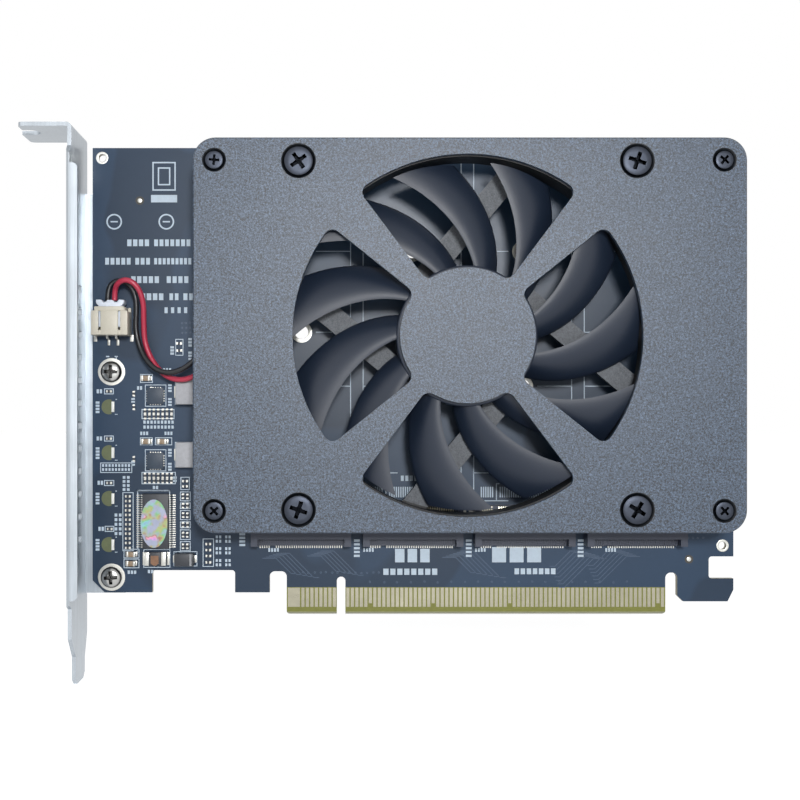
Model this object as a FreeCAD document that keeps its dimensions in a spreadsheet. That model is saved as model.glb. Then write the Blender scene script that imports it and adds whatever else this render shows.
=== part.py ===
import FreeCAD, Part
import math
import os
import re

import Sketcher
from FreeCAD import Placement, Rotation, Vector

# A full-length expansion card that carries four M.2 drives under a finned-fan
# cover.  The card stands on its contact edge: X runs along the board away from
# the slot bracket, Z runs up from the contact edge and the parts face -Y.
# The origin is the middle of the key notch, on the bottom of the contact edge,
# in the mid-plane of the board.
#
# Most pieces are drawn in board coordinates: sketch x is X, sketch y is Z, and
# z is the height above the board's front face.  seat() stands them upright.

doc = FreeCAD.newDocument("AdapterCard")
sheet = doc.addObject("Spreadsheet::Sheet", "Sizes")

# ------------------------------------------------------------ driving sizes
SIZES = [
    # printed circuit board, millimetres
    ("board_thick", 1.57, "board thickness"),
    ("board_left", -55.3, "board edge beside the bracket"),
    ("board_right", 87.3, "board edge at the far end"),
    ("board_top", 103.7, "top edge of the board"),
    ("board_low_left", 4.8, "bottom edge left of the contact edge"),
    ("board_low_right", 2.8, "bottom edge right of the contact edge"),
    ("board_chamfer", 2.7, "bottom left corner cut"),
    ("key_half", 0.95, "half width of the key notch"),
    ("key_top", 8.3, "top of the key notch"),
    ("edge_left", -12.1, "left end of the contact edge"),
    ("edge_right", 72.15, "right end of the contact edge"),
    ("edge_slot_left", -15.9, "far side of the slot left of the contact edge"),
    ("edge_slot_left_top", 9.5, "top of that slot"),
    ("edge_slot_right", 74.8, "far side of the slot right of the contact edge"),
    ("edge_slot_right_top", 9.2, "top of that slot"),
    ("step_right", -23.6, "right side of the wide step in the bottom edge"),
    ("step_left", -42.0, "left side of that step"),
    ("step_top", 9.75, "top of that step"),
    ("hook_depth", 81.8, "inner side of the latch notch"),
    ("hook_low", 7.9, "lower side of the latch notch"),
    ("hook_high", 12.8, "upper side of the latch notch"),
    ("hook_chamfer", 1.3, "corner cuts of the board's far end"),
    ("slot_round", 1.2, "corner radius of the slots beside the contact edge"),
    ("small_round", 0.7, "corner radius of the board's other inner corners"),
    ("bore_play", 0.1, "how much wider a screw's clearance hole is, on the radius"),
    ("edge_bevel", 0.45, "bevel along the contact edge"),
    ("contact_pitch", 1.0, "contact spacing"),
    ("contact_wide", 0.7, "contact width"),
    ("contact_low", 1.6, "bottom of a contact"),
    ("contact_high", 5.85, "top of a contact"),
    ("contact_short", 2.4, "bottom of a short contact"),
    ("contact_thick", 0.05, "plating thickness"),
    ("contact_first", -11.5, "place of the first contact"),
    # plated holes
    ("ring_thick", 0.06, "height of a plated ring"),
    ("tooling_bore", 0.875, "tooling hole radius"),
    ("tooling_ring", 1.35, "tooling ring radius"),
    ("tooling_left", -53.2, "left tooling hole"),
    ("tooling_left_high", 101.5, "left tooling hole height"),
    ("tooling_right", 84.9, "right tooling hole"),
    ("tooling_right_high", 15.2, "right tooling hole height"),
    ("drive_bore", 1.85, "hole for a drive's screw post"),
    ("drive_ring", 2.9, "plated ring round a drive's post hole"),
    # slot bracket
    ("sheet_thick", 0.86, "bracket sheet thickness"),
    ("bracket_face", -57.2, "inner face of the bracket plate"),
    ("bracket_top", 106.5, "top of the bracket tab"),
    ("bracket_tip", -14.0, "bottom tip of the bracket"),
    ("bracket_front", 15.0, "front edge of the bracket above the board"),
    ("bracket_rear", -3.4, "rear edge of the bracket behind the board's front face"),
    ("bracket_neck", 13.0, "front edge above and below the front flange"),
    ("flange_low", 5.1, "bottom of the front flange"),
    ("flange_high", 97.5, "top of the front flange"),
    ("flange_reach", 1.7, "front flange beyond the plate's inner face"),
    ("ear_low", 4.5, "bottom of the rear flange"),
    ("ear_high", 93.6, "top of the rear flange"),
    ("ear_reach", 10.2, "rear flange beyond the plate's inner face"),
    ("tab_front_end", -68.7, "free end of the tab, front part"),
    ("tab_rear_end", -69.8, "free end of the tab, rear part"),
    ("tab_notch_centre", 6.6, "middle of the tab notch"),
    ("tab_notch_half", 2.21, "half width of the tab notch"),
    ("tab_notch_end", -65.3, "inner end of the tab notch"),
    ("bend_outer", 1.15, "outer radius of a bend"),
    ("tongue_front", 8.5, "front edge of the tongue"),
    ("tongue_rear", -0.9, "rear edge of the tongue"),
    ("slit_low", 17.0, "lowest vent slot"),
    ("slit_pitch", 5.0, "vent slot spacing"),
    ("slit_count", 12, "number of vent slots"),
    ("slit_centre", 4.1, "middle of the vent slots"),
    ("slit_deep", 3.3, "vent slot across the plate"),
    ("slit_high", 1.4, "vent slot along the plate"),
    ("ear_screw_u", -51.1, "bracket screws"),
    ("ear_screw_low", 8.2, "lower bracket screw"),
    ("ear_screw_high", 53.9, "upper bracket screw"),
    ("ear_screw_radius", 1.5, "bracket screw thread radius"),
    ("ear_head_radius", 2.4, "bracket screw head radius"),
    ("ear_head_high", 1.5, "bracket screw head height"),
    ("ear_pad_radius", 3.1, "plated pad under a bracket screw"),
    # cover plate
    ("cover_left", -31.3, "left edge of the cover"),
    ("cover_right", 85.6, "right edge of the cover"),
    ("cover_low", 19.4, "bottom edge of the cover"),
    ("cover_high", 102.85, "top edge of the cover"),
    ("cover_top", 14.5, "outer face of the cover above the board"),
    ("cover_thick", 1.3, "cover sheet thickness"),
    ("cover_corner", 4.8, "cover corner radius"),
    ("cover_edge", 0.25, "broken edge of the cover"),
    ("post_left", -26.8, "left cover posts"),
    ("post_right", 80.8, "right cover posts"),
    ("post_low", 24.1, "lower cover posts"),
    ("post_high", 98.1, "upper cover posts"),
    ("post_radius", 2.5, "cover post radius across corners"),
    ("post_thread", 1.25, "cover screw thread radius"),
    ("post_sink", 2.53, "countersink radius for a cover screw"),
    ("post_head", 1.95, "cover screw head radius"),
    # fan
    ("fan_u", 26.7, "fan axis"),
    ("fan_v", 61.1, "fan axis height"),
    ("fan_side", 80.0, "fan frame side"),
    ("fan_deep", 7.5, "fan frame depth"),
    ("fan_bore", 38.0, "fan bore radius"),
    ("fan_corner", 4.0, "fan frame corner radius"),
    ("fan_hole_u", 35.7, "fan holes from the axis along X"),
    ("fan_hole_v", 36.8, "fan holes from the axis along Z"),
    ("fan_hole_radius", 2.15, "fan hole radius"),
    ("fan_sink", 3.675, "countersink radius for a fan screw"),
    ("fan_head", 3.25, "fan screw head radius"),
    ("fan_thread", 2.05, "fan screw thread radius"),
    ("fan_screw_long", 6.5, "fan screw length under the head"),
    ("vent_inner", 14.3, "radius of the cover's middle disc"),
    ("vent_side_outer", 37.0, "outer radius of the left and right openings"),
    ("vent_side_sweep", 77.4, "angle of the left and right openings"),
    ("vent_top_outer", 38.3, "outer radius of the top and bottom openings"),
    ("vent_top_sweep", 74.0, "angle of the top and bottom openings"),
    ("vent_corner", 2.0, "corner radius of the openings"),
    ("tower_high", 5.2, "bearing tower height"),
    ("base_thick", 1.0, "motor base disc thickness"),
    ("base_radius", 15.0, "motor base disc radius"),
    ("strut_thick", 1.6, "strut thickness"),
    ("strut_wide", 5.0, "strut width"),
    ("strut_turn", 50.0, "direction of the first strut"),
    ("groove_wide", 2.7, "lead groove width"),
    ("groove_deep", 1.25, "lead groove depth"),
    ("sleeve_outer", 2.6, "bearing sleeve radius"),
    ("sleeve_bore", 1.05, "bearing bore radius"),
    ("sleeve_floor", 0.5, "floor of the tower's bore above the frame's rear face"),
    ("sleeve_low", 0.9, "bearing sleeve above that floor"),
    ("sleeve_high", 5.0, "top of the sleeve above the frame's rear face"),
    ("clip_low", 0.5, "shaft clip above the floor"),
    ("clip_thick", 0.2, "shaft clip thickness"),
    ("clip_outer", 2.2, "shaft clip radius"),
    ("clip_groove", 0.25, "depth of the shaft's clip groove"),
    ("clip_play", 0.05, "groove beyond the clip on each side"),
    ("shaft_end", 0.15, "end of the shaft above the floor"),
    ("tower_radius", 3.4, "bearing tower radius"),
    ("shaft_radius", 1.0, "shaft radius"),
    ("hub_radius", 15.0, "impeller hub radius"),
    ("hub_wall", 0.8, "impeller hub wall"),
    ("hub_face", 0.9, "impeller hub front wall"),
    ("cup_wall", 0.6, "rotor cup wall"),
    ("magnet_wall", 1.3, "ring magnet wall"),
    ("core_low", 2.7, "stator core above the frame's rear face"),
    ("core_thick", 1.5, "stator core thickness"),
    ("core_shoe", 11.9, "outer radius of the stator shoes"),
    ("core_shoe_wall", 1.1, "stator shoe wall"),
    ("core_arm", 2.6, "stator arm width"),
    ("core_gap", 3.0, "gap between two stator shoes"),
    ("coil_centre", 7.9, "middle of a coil from the axis"),
    ("coil_wide", 5.6, "coil across its arm"),
    ("coil_long", 4.8, "coil along its arm"),
    ("coil_over", 0.8, "coil above and below the core"),
    ("motor_board_radius", 11.5, "motor board radius"),
    ("motor_board_thick", 0.6, "motor board thickness"),
    ("blade_count", 11, "number of blades"),
    ("blade_tip", 37.1, "blade tip radius"),
    ("blade_sweep", 31.2, "turn of a blade from hub to tip, degrees"),
    ("blade_spread", 21.4, "angle that a blade covers, degrees"),
    ("blade_thick", 0.9, "thickest part of a blade"),
    ("blade_edge", 0.24, "thickness of a blade's edges"),
    ("blade_camber", 0.35, "how far a blade's section bows forward"),
    ("blade_first", 72.2, "direction of the first blade's root, degrees"),
    ("blade_setback", 0.9, "front edge of a blade behind the cover"),
    ("blade_clear", 0.85, "rear edge of a blade in front of the struts"),
    ("hub_setback", 0.3, "hub face behind the cover"),
    ("hub_clear", 0.5, "rim of the hub in front of the struts"),
    ("hub_round", 1.2, "broken edge of the hub's face"),
    # fan lead and header
    ("lead_radius", 0.6, "radius of a fan wire"),
    ("lead_gap", 0.06, "half the gap between the two wires"),
    ("lead_slack", 0.03, "sideways play of a wire in its groove"),
    ("lead_start", 3.02, "where the wires rise into the motor, along the strut"),
    ("lead_middle", 19.0, "middle of the wires' stretch on the strut"),
    ("lead_leave", 33.0, "where the wires leave the strut"),
    ("lead_rise", 3.0, "height of the wires at the plug"),
    ("header_u", -50.6, "fan header"),
    ("header_v", 64.9, "fan header height"),
    ("header_wide", 8.0, "header width"),
    ("header_deep", 6.2, "header length along Z"),
    ("header_high", 5.5, "header height above the board"),
    ("header_wall", 0.6, "header wall"),
    ("header_floor", 0.9, "header floor thickness"),
    ("header_slit", 0.5, "width of the slits in the header's roof"),
    ("header_slit_off", 2.15, "slits from the middle of the header"),
    ("pin_side", 0.5, "header pin thickness"),
    ("pin_off", 1.0, "header pins from the middle of the header"),
    ("pin_high", 2.4, "header pin height above the board"),
    ("plug_wide", 6.2, "plug width"),
    ("plug_high", 3.6, "plug thickness"),
    ("plug_end", 69.5, "end of the plug where the wires leave"),
    ("plug_in", 1.6, "plug from the rear end of the header"),
    ("plug_low", 1.0, "underside of the plug above the board"),
    ("plug_slot", 0.62, "terminal slot in the plug"),
    ("terminal_gap", 1.5, "spacing of the fan wires in the plug"),
    # M.2 sockets
    ("socket_first", -8.8, "first M.2 socket"),
    ("socket_pitch", 24.6, "M.2 socket spacing"),
    ("socket_wide", 22.0, "M.2 socket width"),
    ("socket_low", 15.4, "bottom of an M.2 socket"),
    ("socket_high", 24.3, "top of an M.2 socket"),
    ("socket_tall", 4.2, "M.2 socket height above the board"),
    ("socket_slot_low", 2.2, "lower side of the card slot"),
    ("socket_slot_tall", 1.3, "card slot height"),
    ("socket_slot_wide", 20.0, "card slot width"),
    ("socket_slot_deep", 4.6, "card slot depth"),
    ("socket_key", 6.6, "key rib, left of the socket's middle"),
    ("socket_key_wide", 1.1, "key rib width"),
    ("socket_lip", 1.2, "how far the roof stands back over the slot's floor"),
    ("socket_relief", 1.6, "depth of the recess behind the contact tails"),
    ("socket_relief_low", 1.6, "floor of that recess above the board"),
    ("tail_pitch", 0.575, "spacing of the socket's contact tails"),
    ("tail_wide", 0.25, "contact tail width"),
    ("tail_long", 1.0, "contact tail length"),
    ("tail_thick", 0.3, "contact tail thickness"),
    ("tail_key", 6.5, "middle of the gap that the key leaves in the tails"),
    ("tail_key_half", 0.8, "half width of that gap"),
    ("tab_long", 2.4, "anchor tab length"),
    ("tab_wide", 1.0, "anchor tab width"),
    ("drive_short", 50.7, "post hole for the shortest drive"),
    ("drive_middle", 62.7, "post hole for the second length"),
    ("drive_long", 80.7, "post hole for the third length"),
    ("drive_full", 100.7, "post hole for the longest drive"),
    ("drive_post_radius", 2.6, "drive post radius"),
    ("drive_post_high", 2.5, "drive post height"),
    ("drive_thread", 1.0, "drive post thread radius"),
    # small electronics
    ("part_stand", 0.02, "small part bodies above the board"),
    ("chip_u", -41.3, "regulator chips"),
    ("chip_high", 48.5, "upper regulator chip height on the board"),
    ("chip_low", 34.1, "lower regulator chip height on the board"),
    ("chip_side", 3.6, "regulator chip side"),
    ("chip_tall", 0.85, "regulator chip thickness"),
    ("pad_pitch", 0.55, "spacing of a regulator's pads"),
    ("pad_wide", 0.26, "regulator pad width"),
    ("pad_long", 0.42, "regulator pad length"),
    ("pad_thick", 0.16, "regulator pad height"),
    ("choke_u", -33.5, "power inductors"),
    ("choke_high", 49.4, "upper power inductor height on the board"),
    ("choke_low", 35.5, "lower power inductor height on the board"),
    ("choke_wide", 6.0, "power inductor width"),
    ("choke_long", 5.6, "power inductor length"),
    ("choke_tall", 3.0, "power inductor thickness"),
    ("choke_tongue", 0.6, "inductor terminal beyond its body"),
    ("cap_wide", 1.1, "ceramic capacitor between its end caps"),
    ("cap_long", 1.2, "ceramic capacitor width"),
    ("cap_tall", 1.1, "ceramic capacitor thickness"),
    ("cap_end", 0.45, "end cap of a ceramic capacitor"),
    ("chip_res_wide", 0.56, "chip resistor between its end caps"),
    ("chip_res_long", 0.5, "chip resistor width"),
    ("chip_res_tall", 0.35, "chip resistor thickness"),
    ("chip_res_end", 0.24, "end cap of a chip resistor"),
    ("clock_u", -41.15, "clock chip"),
    ("clock_v", 20.7, "clock chip height on the board"),
    ("clock_wide", 6.0, "clock chip width"),
    ("clock_long", 12.3, "clock chip length"),
    ("clock_tall", 1.0, "clock chip body thickness"),
    ("clock_stand", 0.1, "clock chip body above the board"),
    ("lead_pitch", 0.5, "clock chip lead pitch"),
    ("lead_count", 24, "clock chip leads on a side"),
    ("lead_wide", 0.22, "clock chip lead width"),
    ("lead_sheet", 0.13, "clock chip lead thickness"),
    ("lead_knee", 0.6, "clock chip lead height at the body"),
    ("lead_reach", 1.35, "clock chip lead beyond the body"),
    ("lead_foot", 0.65, "clock chip lead foot length"),
    ("sticker_u", -41.5, "oval sticker"),
    ("sticker_v", 20.2, "oval sticker height on the board"),
    ("sticker_wide", 2.98, "half width of the sticker"),
    ("sticker_long", 5.35, "half length of the sticker"),
    ("sticker_thick", 0.08, "sticker thickness"),
    ("fuse_u", -41.25, "fuse"),
    ("fuse_v", 12.35, "fuse height on the board"),
    ("fuse_wide", 2.7, "fuse body between its end caps"),
    ("fuse_long", 3.0, "fuse width"),
    ("fuse_tall", 1.25, "fuse thickness"),
    ("fuse_end", 1.1, "end cap of the fuse"),
    ("diode_u", -34.75, "diode"),
    ("diode_v", 12.25, "diode height on the board"),
    ("diode_wide", 4.3, "diode body"),
    ("diode_long", 2.7, "diode width"),
    ("diode_tall", 2.1, "diode thickness"),
    ("diode_tongue", 0.6, "diode terminal beyond its body"),
    ("lamp_u", -50.75, "indicator lamps"),
    ("lamp_low", 15.5, "lowest indicator lamp"),
    ("lamp_pitch", 10.2, "indicator lamp spacing"),
    ("lamp_wide", 0.65, "indicator lamp width"),
    ("lamp_long", 2.35, "indicator lamp length"),
    ("lamp_tall", 0.55, "indicator lamp thickness"),
]
ALIASES = {alias for alias, _number, _note in SIZES}
for row, (alias, number, note) in enumerate(SIZES, 1):
    sheet.set(f"A{row}", note)
    sheet.set(f"B{row}", str(number))
    sheet.setAlias(f"B{row}", alias)
doc.recompute()


# ------------------------------------------------------------ small helpers
def qualified(text):
    """An expression on the sheet's words, as FreeCAD reads it."""
    return re.sub(r"[a-z_]+", lambda word: f"Sizes.{word[0]}" if word[0] in ALIASES else word[0], str(text))


def value(text):
    """The number that such an expression has now."""
    return float(sheet.evalExpression(qualified(text)))


def bind(thing, **expressions):
    for name, text in expressions.items():
        thing.setExpression(name, qualified(text))
    return thing


def put(thing, u=0, v=0, h=0):
    """Bind a thing's position, in its own coordinates."""
    for axis, text in zip("xyz", (u, v, h)):
        thing.setExpression(f"Placement.Base.{axis}", qualified(text))
    return thing


def seat(thing, label, u=0, v=0, h=0):
    """Stand a finished piece on the board's front face and give it its name."""
    thing.Placement = Placement(Vector(), Rotation(Vector(1, 0, 0), 90))
    put(thing, u, f"-(board_thick / 2 + ({h}))", v)
    thing.Label = label
    return thing


def block(name, u, v, h, wide, long, tall):
    """A box centred on u, v that rises from h."""
    box = doc.addObject("Part::Box", name)
    bind(box, Length=wide, Width=long, Height=tall)
    return put(box, f"({u}) - ({wide}) / 2", f"({v}) - ({long}) / 2", h)


def rod(name, u, v, h, radius, tall):
    cylinder = doc.addObject("Part::Cylinder", name)
    bind(cylinder, Radius=radius, Height=tall)
    return put(cylinder, u, v, h)


def cone(name, u, v, h, low, high, tall):
    piece = doc.addObject("Part::Cone", name)
    bind(piece, Radius1=low, Radius2=high, Height=tall)
    return put(piece, u, v, h)


def fuse(name, pieces):
    joined = doc.addObject("Part::MultiFuse", name)
    joined.Shapes = pieces
    return joined


def cut(name, base, tools):
    """The base with every tool taken away."""
    result = doc.addObject("Part::Cut", name)
    result.Base = base
    result.Tool = tools[0] if len(tools) == 1 else fuse(name + "_tools", tools)
    return result


def group(name, pieces):
    """Separate like pieces that share one node."""
    together = doc.addObject("Part::Compound", name)
    together.Links = pieces
    return together


def copies(name, master, places):
    """Linked copies of one piece at each place, as one group."""
    links = []
    for number, place in enumerate(places):
        link = doc.addObject("App::Link", f"{name}_{number}")
        link.LinkedObject = master
        links.append(put(link, *place))
    return group(name, links)


def corner_edges(shape, spots, along=Vector(0, 0, 1)):
    """Names of the straight edges along a direction that pass over the given points."""
    names = []
    for number, edge in enumerate(shape.Edges, 1):
        if not isinstance(edge.Curve, Part.Line):
            continue
        if edge.tangentAt(edge.FirstParameter).cross(along).Length > 1e-6:
            continue
        for spot in spots:
            away = edge.Vertexes[0].Point - Vector(*spot)
            if away.cross(along).Length < 0.02:
                names.append(f"Edge{number}")
                break
    return names


def rounded(name, base, spots, radius, along=Vector(0, 0, 1)):
    """A Part fillet on upright edges, by the points that they stand on."""
    doc.recompute()
    fillet = doc.addObject("Part::Fillet", name)
    fillet.Base = base
    size = value(radius)
    names = corner_edges(base.Shape, spots, along)
    fillet.Edges = [(int(edge[4:]), size, size) for edge in names]
    return fillet


# Sketches and features of a PartDesign body.
def new_body(name):
    return doc.addObject("PartDesign::Body", name)


def attached(body, name, plane, lift=None):
    sketch = body.newObject("Sketcher::SketchObject", name)
    origin = next(item for item in body.Origin.OriginFeatures if item.Role == plane)
    sketch.AttachmentSupport = [(origin, "")]
    sketch.MapMode = "FlatFace"
    if lift is not None:
        sketch.setExpression("AttachmentOffset.Base.z", qualified(lift))
    return sketch


def outline(body, name, points, plane="XY_Plane", lift=None):
    """A closed sketch of straight runs whose corners are all bound to the sheet."""
    sketch = attached(body, name, plane, lift)
    spots = [Vector(value(x), value(y), 0) for x, y in points]
    for number, spot in enumerate(spots):
        sketch.addGeometry(Part.LineSegment(spot, spots[(number + 1) % len(spots)]), False)
    for number in range(len(spots)):
        following = (number + 1) % len(spots)
        sketch.addConstraint(Sketcher.Constraint("Coincident", number, 2, following, 1))
    for number, (x, y) in enumerate(points):
        for kind, text in (("DistanceX", x), ("DistanceY", y)):
            index = sketch.addConstraint(Sketcher.Constraint(kind, -1, 1, number, 1, value(text)))
            sketch.setExpression(f"Constraints[{index}]", qualified(text))
    return sketch


def circles(body, name, rings, plane="XY_Plane", lift=None):
    """A sketch of circles, each given as u, v and radius."""
    sketch = attached(body, name, plane, lift)
    for number, (u, v, radius) in enumerate(rings):
        sketch.addGeometry(Part.Circle(Vector(value(u), value(v), 0), Vector(0, 0, 1), value(radius)), False)
        for kind, text in (("DistanceX", u), ("DistanceY", v)):
            index = sketch.addConstraint(Sketcher.Constraint(kind, -1, 1, number, 3, value(text)))
            sketch.setExpression(f"Constraints[{index}]", qualified(text))
        index = sketch.addConstraint(Sketcher.Constraint("Radius", number, value(radius)))
        sketch.setExpression(f"Constraints[{index}]", qualified(radius))
    return sketch


def feature(body, kind, name, sketch, **settings):
    """A pad or pocket; text settings are bound to the sheet, others are set."""
    made = body.newObject(f"PartDesign::{kind}", name)
    made.Profile = sketch
    for key, setting in settings.items():
        if isinstance(setting, str) and key != "Type":
            bind(made, **{key: setting})
        else:
            setattr(made, key, setting)
    return made


def through(body, name, sketch):
    """A pocket right through the piece, both ways from its sketch."""
    return feature(body, "Pocket", name, sketch, Type="ThroughAll", Midplane=True)


def corner_round(body, name, spots, radius, along=Vector(0, 0, 1)):
    """A PartDesign fillet on the body's tip, on edges that pass over the points."""
    doc.recompute()
    tip = body.Tip
    fillet = body.newObject("PartDesign::Fillet", name)
    fillet.Base = (tip, corner_edges(tip.Shape, spots, along))
    return bind(fillet, Radius=radius)


def turned(body, name, points):
    """A solid of revolution about the body's z axis; the points are (radius, height)."""
    sketch = outline(body, name + "_profile", points, "XZ_Plane")
    solid = body.newObject("PartDesign::Revolution", name)
    solid.Profile = sketch
    solid.ReferenceAxis = (sketch, ["V_Axis"])
    solid.Angle = 360
    return solid


def spots(points):
    """Outline points as places in the body's coordinates."""
    return [(value(x), value(y), 0) for x, y in points]


SOCKETS = [f"socket_first + {number} * socket_pitch" for number in range(4)]
POSTS = [(u, v) for u in ("post_left", "post_right") for v in ("post_low", "post_high")]
FAN_HOLES = [(f"fan_u + ({u}) * fan_hole_u", f"fan_v + ({v}) * fan_hole_v") for u in (-1, 1) for v in (-1, 1)]
DRIVE_HOLES = [(u, v) for u in SOCKETS for v in ("drive_short", "drive_middle", "drive_long", "drive_full")]
TOOLING = [("tooling_left", "tooling_left_high"), ("tooling_right", "tooling_right_high")]
EAR_SCREWS = [("ear_screw_u", "ear_screw_low"), ("ear_screw_u", "ear_screw_high")]
cover_under = "cover_top - cover_thick"
fan_rear = "cover_top - cover_thick - fan_deep"


# ------------------------------------------------------------ circuit board
def make_board():
    """The board: contact edge with its key, latch notch at the far end, holes."""
    corners = [
        ("board_left", "board_top"),
        ("board_left", "board_low_left + board_chamfer"),
        ("board_left + board_chamfer", "board_low_left"),
        ("step_left", "board_low_left"),
        ("step_left", "step_top"),
        ("step_right", "step_top"),
        ("step_right", "board_low_left"),
        ("edge_slot_left", "board_low_left"),
        ("edge_slot_left", "edge_slot_left_top"),
        ("edge_left", "edge_slot_left_top"),
        ("edge_left", "0"),
        ("-key_half", "0"),
        ("-key_half", "key_top"),
        ("key_half", "key_top"),
        ("key_half", "0"),
        ("edge_right", "0"),
        ("edge_right", "edge_slot_right_top"),
        ("edge_slot_right", "edge_slot_right_top"),
        ("edge_slot_right", "board_low_right + hook_chamfer"),
        ("edge_slot_right + hook_chamfer", "board_low_right"),
        ("board_right - hook_chamfer", "board_low_right"),
        ("board_right", "board_low_right + 2 * hook_chamfer"),
        ("board_right", "hook_low"),
        ("hook_depth", "hook_low"),
        ("hook_depth", "hook_high"),
        ("board_right", "hook_high"),
        ("board_right", "board_top"),
    ]
    body = new_body("Board")
    shape = outline(body, "BoardOutline", corners)
    feature(body, "Pad", "BoardPad", shape, Length="board_thick", Reversed=True)
    slots = spots(corners[8:10] + corners[16:18])
    corner_round(body, "SlotRounds", slots, "slot_round")
    corner_round(body, "KeyRounds", spots(corners[12:14]), "key_half - 0.02")
    small = spots([corners[4], corners[5], corners[10], corners[15], corners[23], corners[24]])
    corner_round(body, "SmallRounds", small, "small_round")
    holes = [(u, v, "tooling_bore") for u, v in TOOLING]
    holes += [(u, v, "drive_bore") for u, v in DRIVE_HOLES]
    holes += [(u, v, "ear_screw_radius + bore_play") for u, v in EAR_SCREWS]
    holes += [(u, v, "post_thread + bore_play") for u, v in POSTS]
    through(body, "BoardHoles", circles(body, "BoardHoleCircles", holes))
    for name, face, inward in (("Front", "0", "-"), ("Rear", "-board_thick", "+")):
        inside = f"{face} {inward} edge_bevel"
        wedge = [("0", inside), ("-1", inside), ("-1", face), ("edge_bevel", face)]
        through(body, f"{name}Bevel", outline(body, f"{name}BevelOutline", wedge, "YZ_Plane"))
    return seat(body, "circuit_board")


def make_contacts(label, rear):
    """The plated contacts of one side; the front's first three are one wide pad."""
    presence = (17, 31, 48, 81)
    pads = []
    for number in range(1, 83):
        if not rear and number < 4:
            continue
        gap = 0 if number <= 11 else 2
        low = "contact_short" if number in presence and not rear else "contact_low"
        u = f"contact_first + {number - 1 + gap} * contact_pitch"
        high = f"(contact_high - {low})"
        height = "-board_thick - contact_thick" if rear else "0"
        pads.append(block(f"{label}_{number}", u, f"{low} + {high} / 2", height, "contact_wide", high,
                          "contact_thick"))
    if not rear:
        wide = "2 * contact_pitch + contact_wide"
        tall = "(contact_high - contact_low)"
        u = "contact_first + contact_pitch"
        pads.append(block(f"{label}_wide", u, f"contact_low + {tall} / 2", "0", wide, tall, "contact_thick"))
    return seat(group(label, pads), label)


def ring(name, outer, inner, tall="ring_thick"):
    """A flat plated ring."""
    disc = rod(name + "_disc", 0, 0, 0, outer, tall)
    hole = rod(name + "_hole", 0, 0, -1, inner, f"({tall}) + 2")
    return cut(name, disc, [hole])


def make_rings():
    tooling = copies("ToolingRings", ring("ToolingRing", "tooling_ring", "tooling_bore"), TOOLING)
    seat(tooling, "tooling_hole_rings")
    drive = ring("DriveRing", "drive_ring", "drive_bore")
    seat(copies("DriveRings", drive, DRIVE_HOLES), "drive_hole_rings")
    pad = ring("EarPad", "ear_pad_radius", "ear_screw_radius + bore_play")
    seat(copies("EarPads", pad, EAR_SCREWS), "bracket_screw_pads")


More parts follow.
